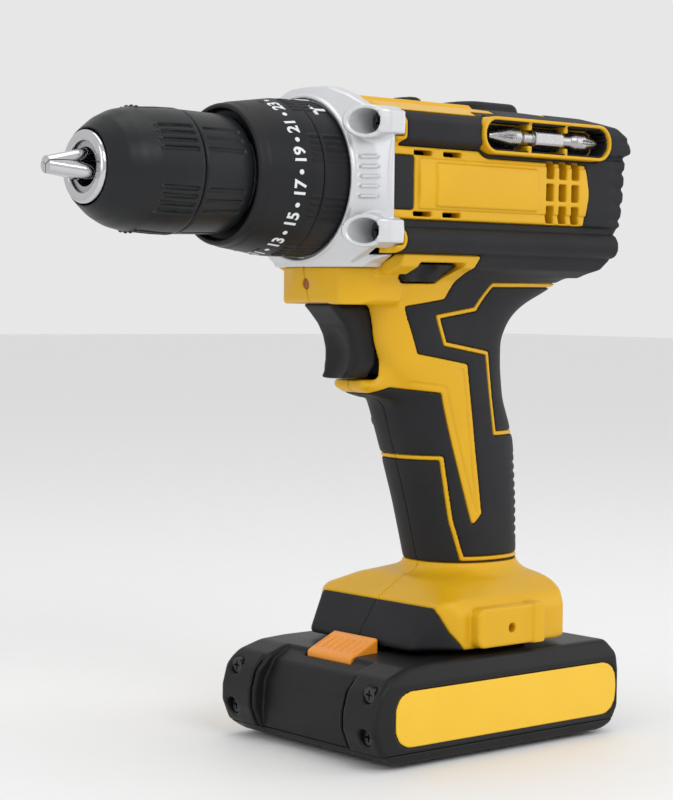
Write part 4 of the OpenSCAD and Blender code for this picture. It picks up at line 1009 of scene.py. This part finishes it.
mould("pack_upper", pack_upper, (-50.2, -37.5, 4), (56.6, 37.5, 30.8), 0.6, "battery", PACK,
      ["battery_case_upper"])
mould("pack_lower", pack_lower, (-50.2, -37.5, 0), (56.6, 37.5, 4.4), 0.6, "battery", PACK,
      ["battery_case_lower"])
label_points, label_faces = surface(label_plate, (-48.5, 36.9, 5.5), (48.5, 37.6, 23.4), 0.5)
label_count = len(label_points)
add_piece("pack_labels",
          np.concatenate([label_points, label_points * [1, -1, 1]]),
          np.concatenate([label_faces, label_faces[:, ::-1] + label_count]),
          "battery", LABEL, ["battery_labels"])
mould("pack_latch", latch, (31, -10.6, 24), (43.4, 10.6, 35.4), 0.35, "battery_latch", ORANGE,
      ["battery_latch"])

# ---- Printing on the collars ------------------------------------------------------


def glyph_mesh(text, height, depth):
    """Points and faces of a short text, centred on the origin, height along V."""
    curve = bpy.data.curves.new("text_" + text, "FONT")
    curve.body = text
    curve.size = height / 0.73
    curve.align_x, curve.align_y = "CENTER", "CENTER"
    curve.extrude = depth
    curve.offset = 0.14
    curve.resolution_u = 4
    holder = bpy.data.objects.new("text_holder", curve)
    scene.collection.objects.link(holder)
    depsgraph = bpy.context.evaluated_depsgraph_get()
    mesh = bpy.data.meshes.new_from_object(holder.evaluated_get(depsgraph))
    points = np.array([v.co for v in mesh.vertices])
    faces = [list(p.vertices) for p in mesh.polygons]
    bpy.data.objects.remove(holder)
    bpy.data.meshes.remove(mesh)
    return points, faces


def wrap(points, x_mid, angle, radius, slope):
    """Lays flat points on a cone about the spindle: U runs round it, V along it to the front."""
    u, v, w = points.T
    r = radius + slope * v + w
    turn = math.radians(angle) + u / radius
    return np.stack([x_mid + v, r * np.cos(turn), SPINDLE_Z + r * np.sin(turn)], 1)


def plate_mesh(corners, depth):
    """A flat shape of [u, v] corners with a little thickness."""
    count = len(corners)
    low = np.column_stack([corners, np.full(count, -depth)])
    high = np.column_stack([corners, np.full(count, depth)])
    faces = [[i, (i + 1) % count, count + (i + 1) % count, count + i] for i in range(count)]
    faces += [list(range(count, 2 * count)), list(range(count - 1, -1, -1))]
    return np.concatenate([low, high]), faces


def disc(radius, depth, sides=16):
    """A low dot."""
    turns = np.linspace(0, 2 * np.pi, sides, endpoint=False)
    return plate_mesh(np.stack([radius * np.cos(turns), radius * np.sin(turns)], 1), depth)


def gather(parts):
    """Joins (points, faces) pairs into one."""
    points, faces, start = [], [], 0
    for p, f in parts:
        points.append(p)
        faces += [[i + start for i in face] for face in f]
        start += len(p)
    return np.concatenate(points), faces


NUMBER_X = 74.4
NUMBER_RADIUS = 22.84
NUMBER_PITCH = 24.5  # degrees from one number to the next
LEVEL_NUMBER, LEVEL_ANGLE = 17, -11.0
marks = []
for number in range(1, 25, 2):
    angle = LEVEL_ANGLE + NUMBER_PITCH * (number - LEVEL_NUMBER) / 2
    points, faces = glyph_mesh(str(number), 3.9, 0.12)
    marks.append((wrap(points, NUMBER_X, angle, NUMBER_RADIUS, -0.14), faces))
    points, faces = disc(0.75, 0.12)
    marks.append((wrap(points, NUMBER_X, angle + NUMBER_PITCH / 2, NUMBER_RADIUS, -0.14), faces))
points, faces = gather(marks)
add_piece("torque_numbers", points, faces, "torque_ring", INK, flat=True)

HAMMER = [[-2.4, 0.8], [-2.4, 1.9], [2.0, 1.9], [2.7, 1.2], [1.2, 0.8], [0.55, 0.8], [0.55, -3.0],
          [-0.55, -3.0], [-0.55, 0.8]]
DRILL = [[-0.7, -3.0], [0.7, -3.0], [0.7, 1.4], [0, 2.8], [-0.7, 1.4]]
SCREW = [[-0.6, -3.0], [0.0, -3.6], [0.6, -3.0], [0.6, 1.2], [1.7, 1.2], [1.7, 2.2], [-1.7, 2.2],
         [-1.7, 1.2], [-0.6, 1.2]]
signs = []
for corners, angle in ((SCREW, 96), (DRILL, 76), (HAMMER, 56)):
    points, faces = plate_mesh(np.array(corners), 0.3)
    signs.append((wrap(points, 61.2, angle, MODE_R + 0.1, -0.03), faces))
points, faces = gather(signs)
add_piece("mode_signs", points, faces, "mode_ring", INK, flat=True)

# ---- Finishes of the CAD nodes that stay ------------------------------------------

FINISHES = [
    # The screws take the near-black steel, painted shade for their deep bores.
    (SCREW_SHADE_STEEL, ("housing_screws", "nose_screws", "battery_screws")),
    (STEEL, ("spindle", "chuck_body",
             "chuck_screw", "chuck_nut", "spindle_bearings", "ring_gear", "clutch_ring_gear",
             "clutch_pins", "clutch_spring", "shift_fork", "shift_ring_gear", "first_carrier",
             "second_carrier", "second_planets", "motor_shaft", "trigger_spring", "latch_spring",
             "motor_magnets")),
    (BRIGHT, ("jaw_1", "jaw_2", "jaw_3")),
    (SILVER, ("motor_can",)),
    (BLACK, ("switch_module", "terminal_block", "motor_end_cap", "cooling_fan", "gearbox_case")),
    (COPPER, ("armature", "motor_brushes")),
    (CELL, ("battery_cells",)),
    (BOARD, ("battery_board",)),
    (LEAD, ("wiring",)),
    (LENS, ("work_light",)),
]
planets = tuple(f"{stage}_planet_{i}" for stage in ("first", "third") for i in (1, 2, 3))
for finish, names in FINISHES + [(STEEL, planets)]:
    for node_name in names:
        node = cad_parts[node_name]
        node.data.materials.clear()
        node.data.materials.append(finish)

# ---- Floor, lights and camera -----------------------------------------------------

floor_mesh = bpy.data.meshes.new("floor")
reach = 6.0
floor_mesh.from_pydata([(-reach, -reach, 0), (reach, -reach, 0), (reach, reach, 0),
                        (-reach, reach, 0)], [], [(0, 1, 2, 3)])
floor = bpy.data.objects.new("floor", floor_mesh)
floor.location.z = -0.0005
scene.collection.objects.link(floor)
floor_mesh.materials.append(material("floor_white", (0.86, 0.86, 0.86), 0.6, 5.0, 0.0,
                                     spread=0.004))

world = bpy.data.worlds.new("studio")
scene.world = world
world.use_nodes = True
put(world.node_tree.nodes["Background"], Color=(1.0, 1.0, 1.0, 1.0), Strength=0.8)


def softbox(name, place, target, size, power):
    lamp = bpy.data.lights.new(name, "AREA")
    lamp.energy = power
    lamp.shape = "RECTANGLE"
    lamp.size, lamp.size_y = size
    holder = bpy.data.objects.new(name, lamp)
    holder.location = place
    holder.rotation_mode = "QUATERNION"
    holder.rotation_quaternion = (Vector(target) - Vector(place)).to_track_quat("-Z", "Y")
    scene.collection.objects.link(holder)


middle = (0.03, 0.0, 0.11)
softbox("key", (0.1, 0.9, 0.7), middle, (0.5, 0.4), 2.6)
softbox("front", (0.95, 0.1, 0.4), middle, (0.4, 0.6), 1.2)
softbox("top", (0.0, 0.0, 1.1), middle, (0.8, 0.5), 1.8)
softbox("rear", (-0.8, 0.6, 0.4), middle, (0.3, 0.6), 1.0)
scene.view_settings.view_transform = "Standard"

CAMERA_PLACE = (0.462, 0.4954, 0.1393)
CAMERA_RIGHT = (-0.7622, 0.6473, 0.0116)
CAMERA_UP = (-0.0222, -0.0440, 0.9988)
camera_data = bpy.data.cameras.new("camera")
camera_data.lens = 94.6
camera_data.sensor_width = 36.0
camera_data.clip_start = 0.01
camera_data.clip_end = 50.0
camera = bpy.data.objects.new("camera", camera_data)
right = Vector(CAMERA_RIGHT).normalized()
back = right.cross(Vector(CAMERA_UP)).normalized()
up = back.cross(right)
turn = Matrix((right, up, back)).transposed()
camera.matrix_world = Matrix.Translation(CAMERA_PLACE) @ turn.to_4x4()
scene.collection.objects.link(camera)
scene.camera = camera

bpy.context.view_layer.update()
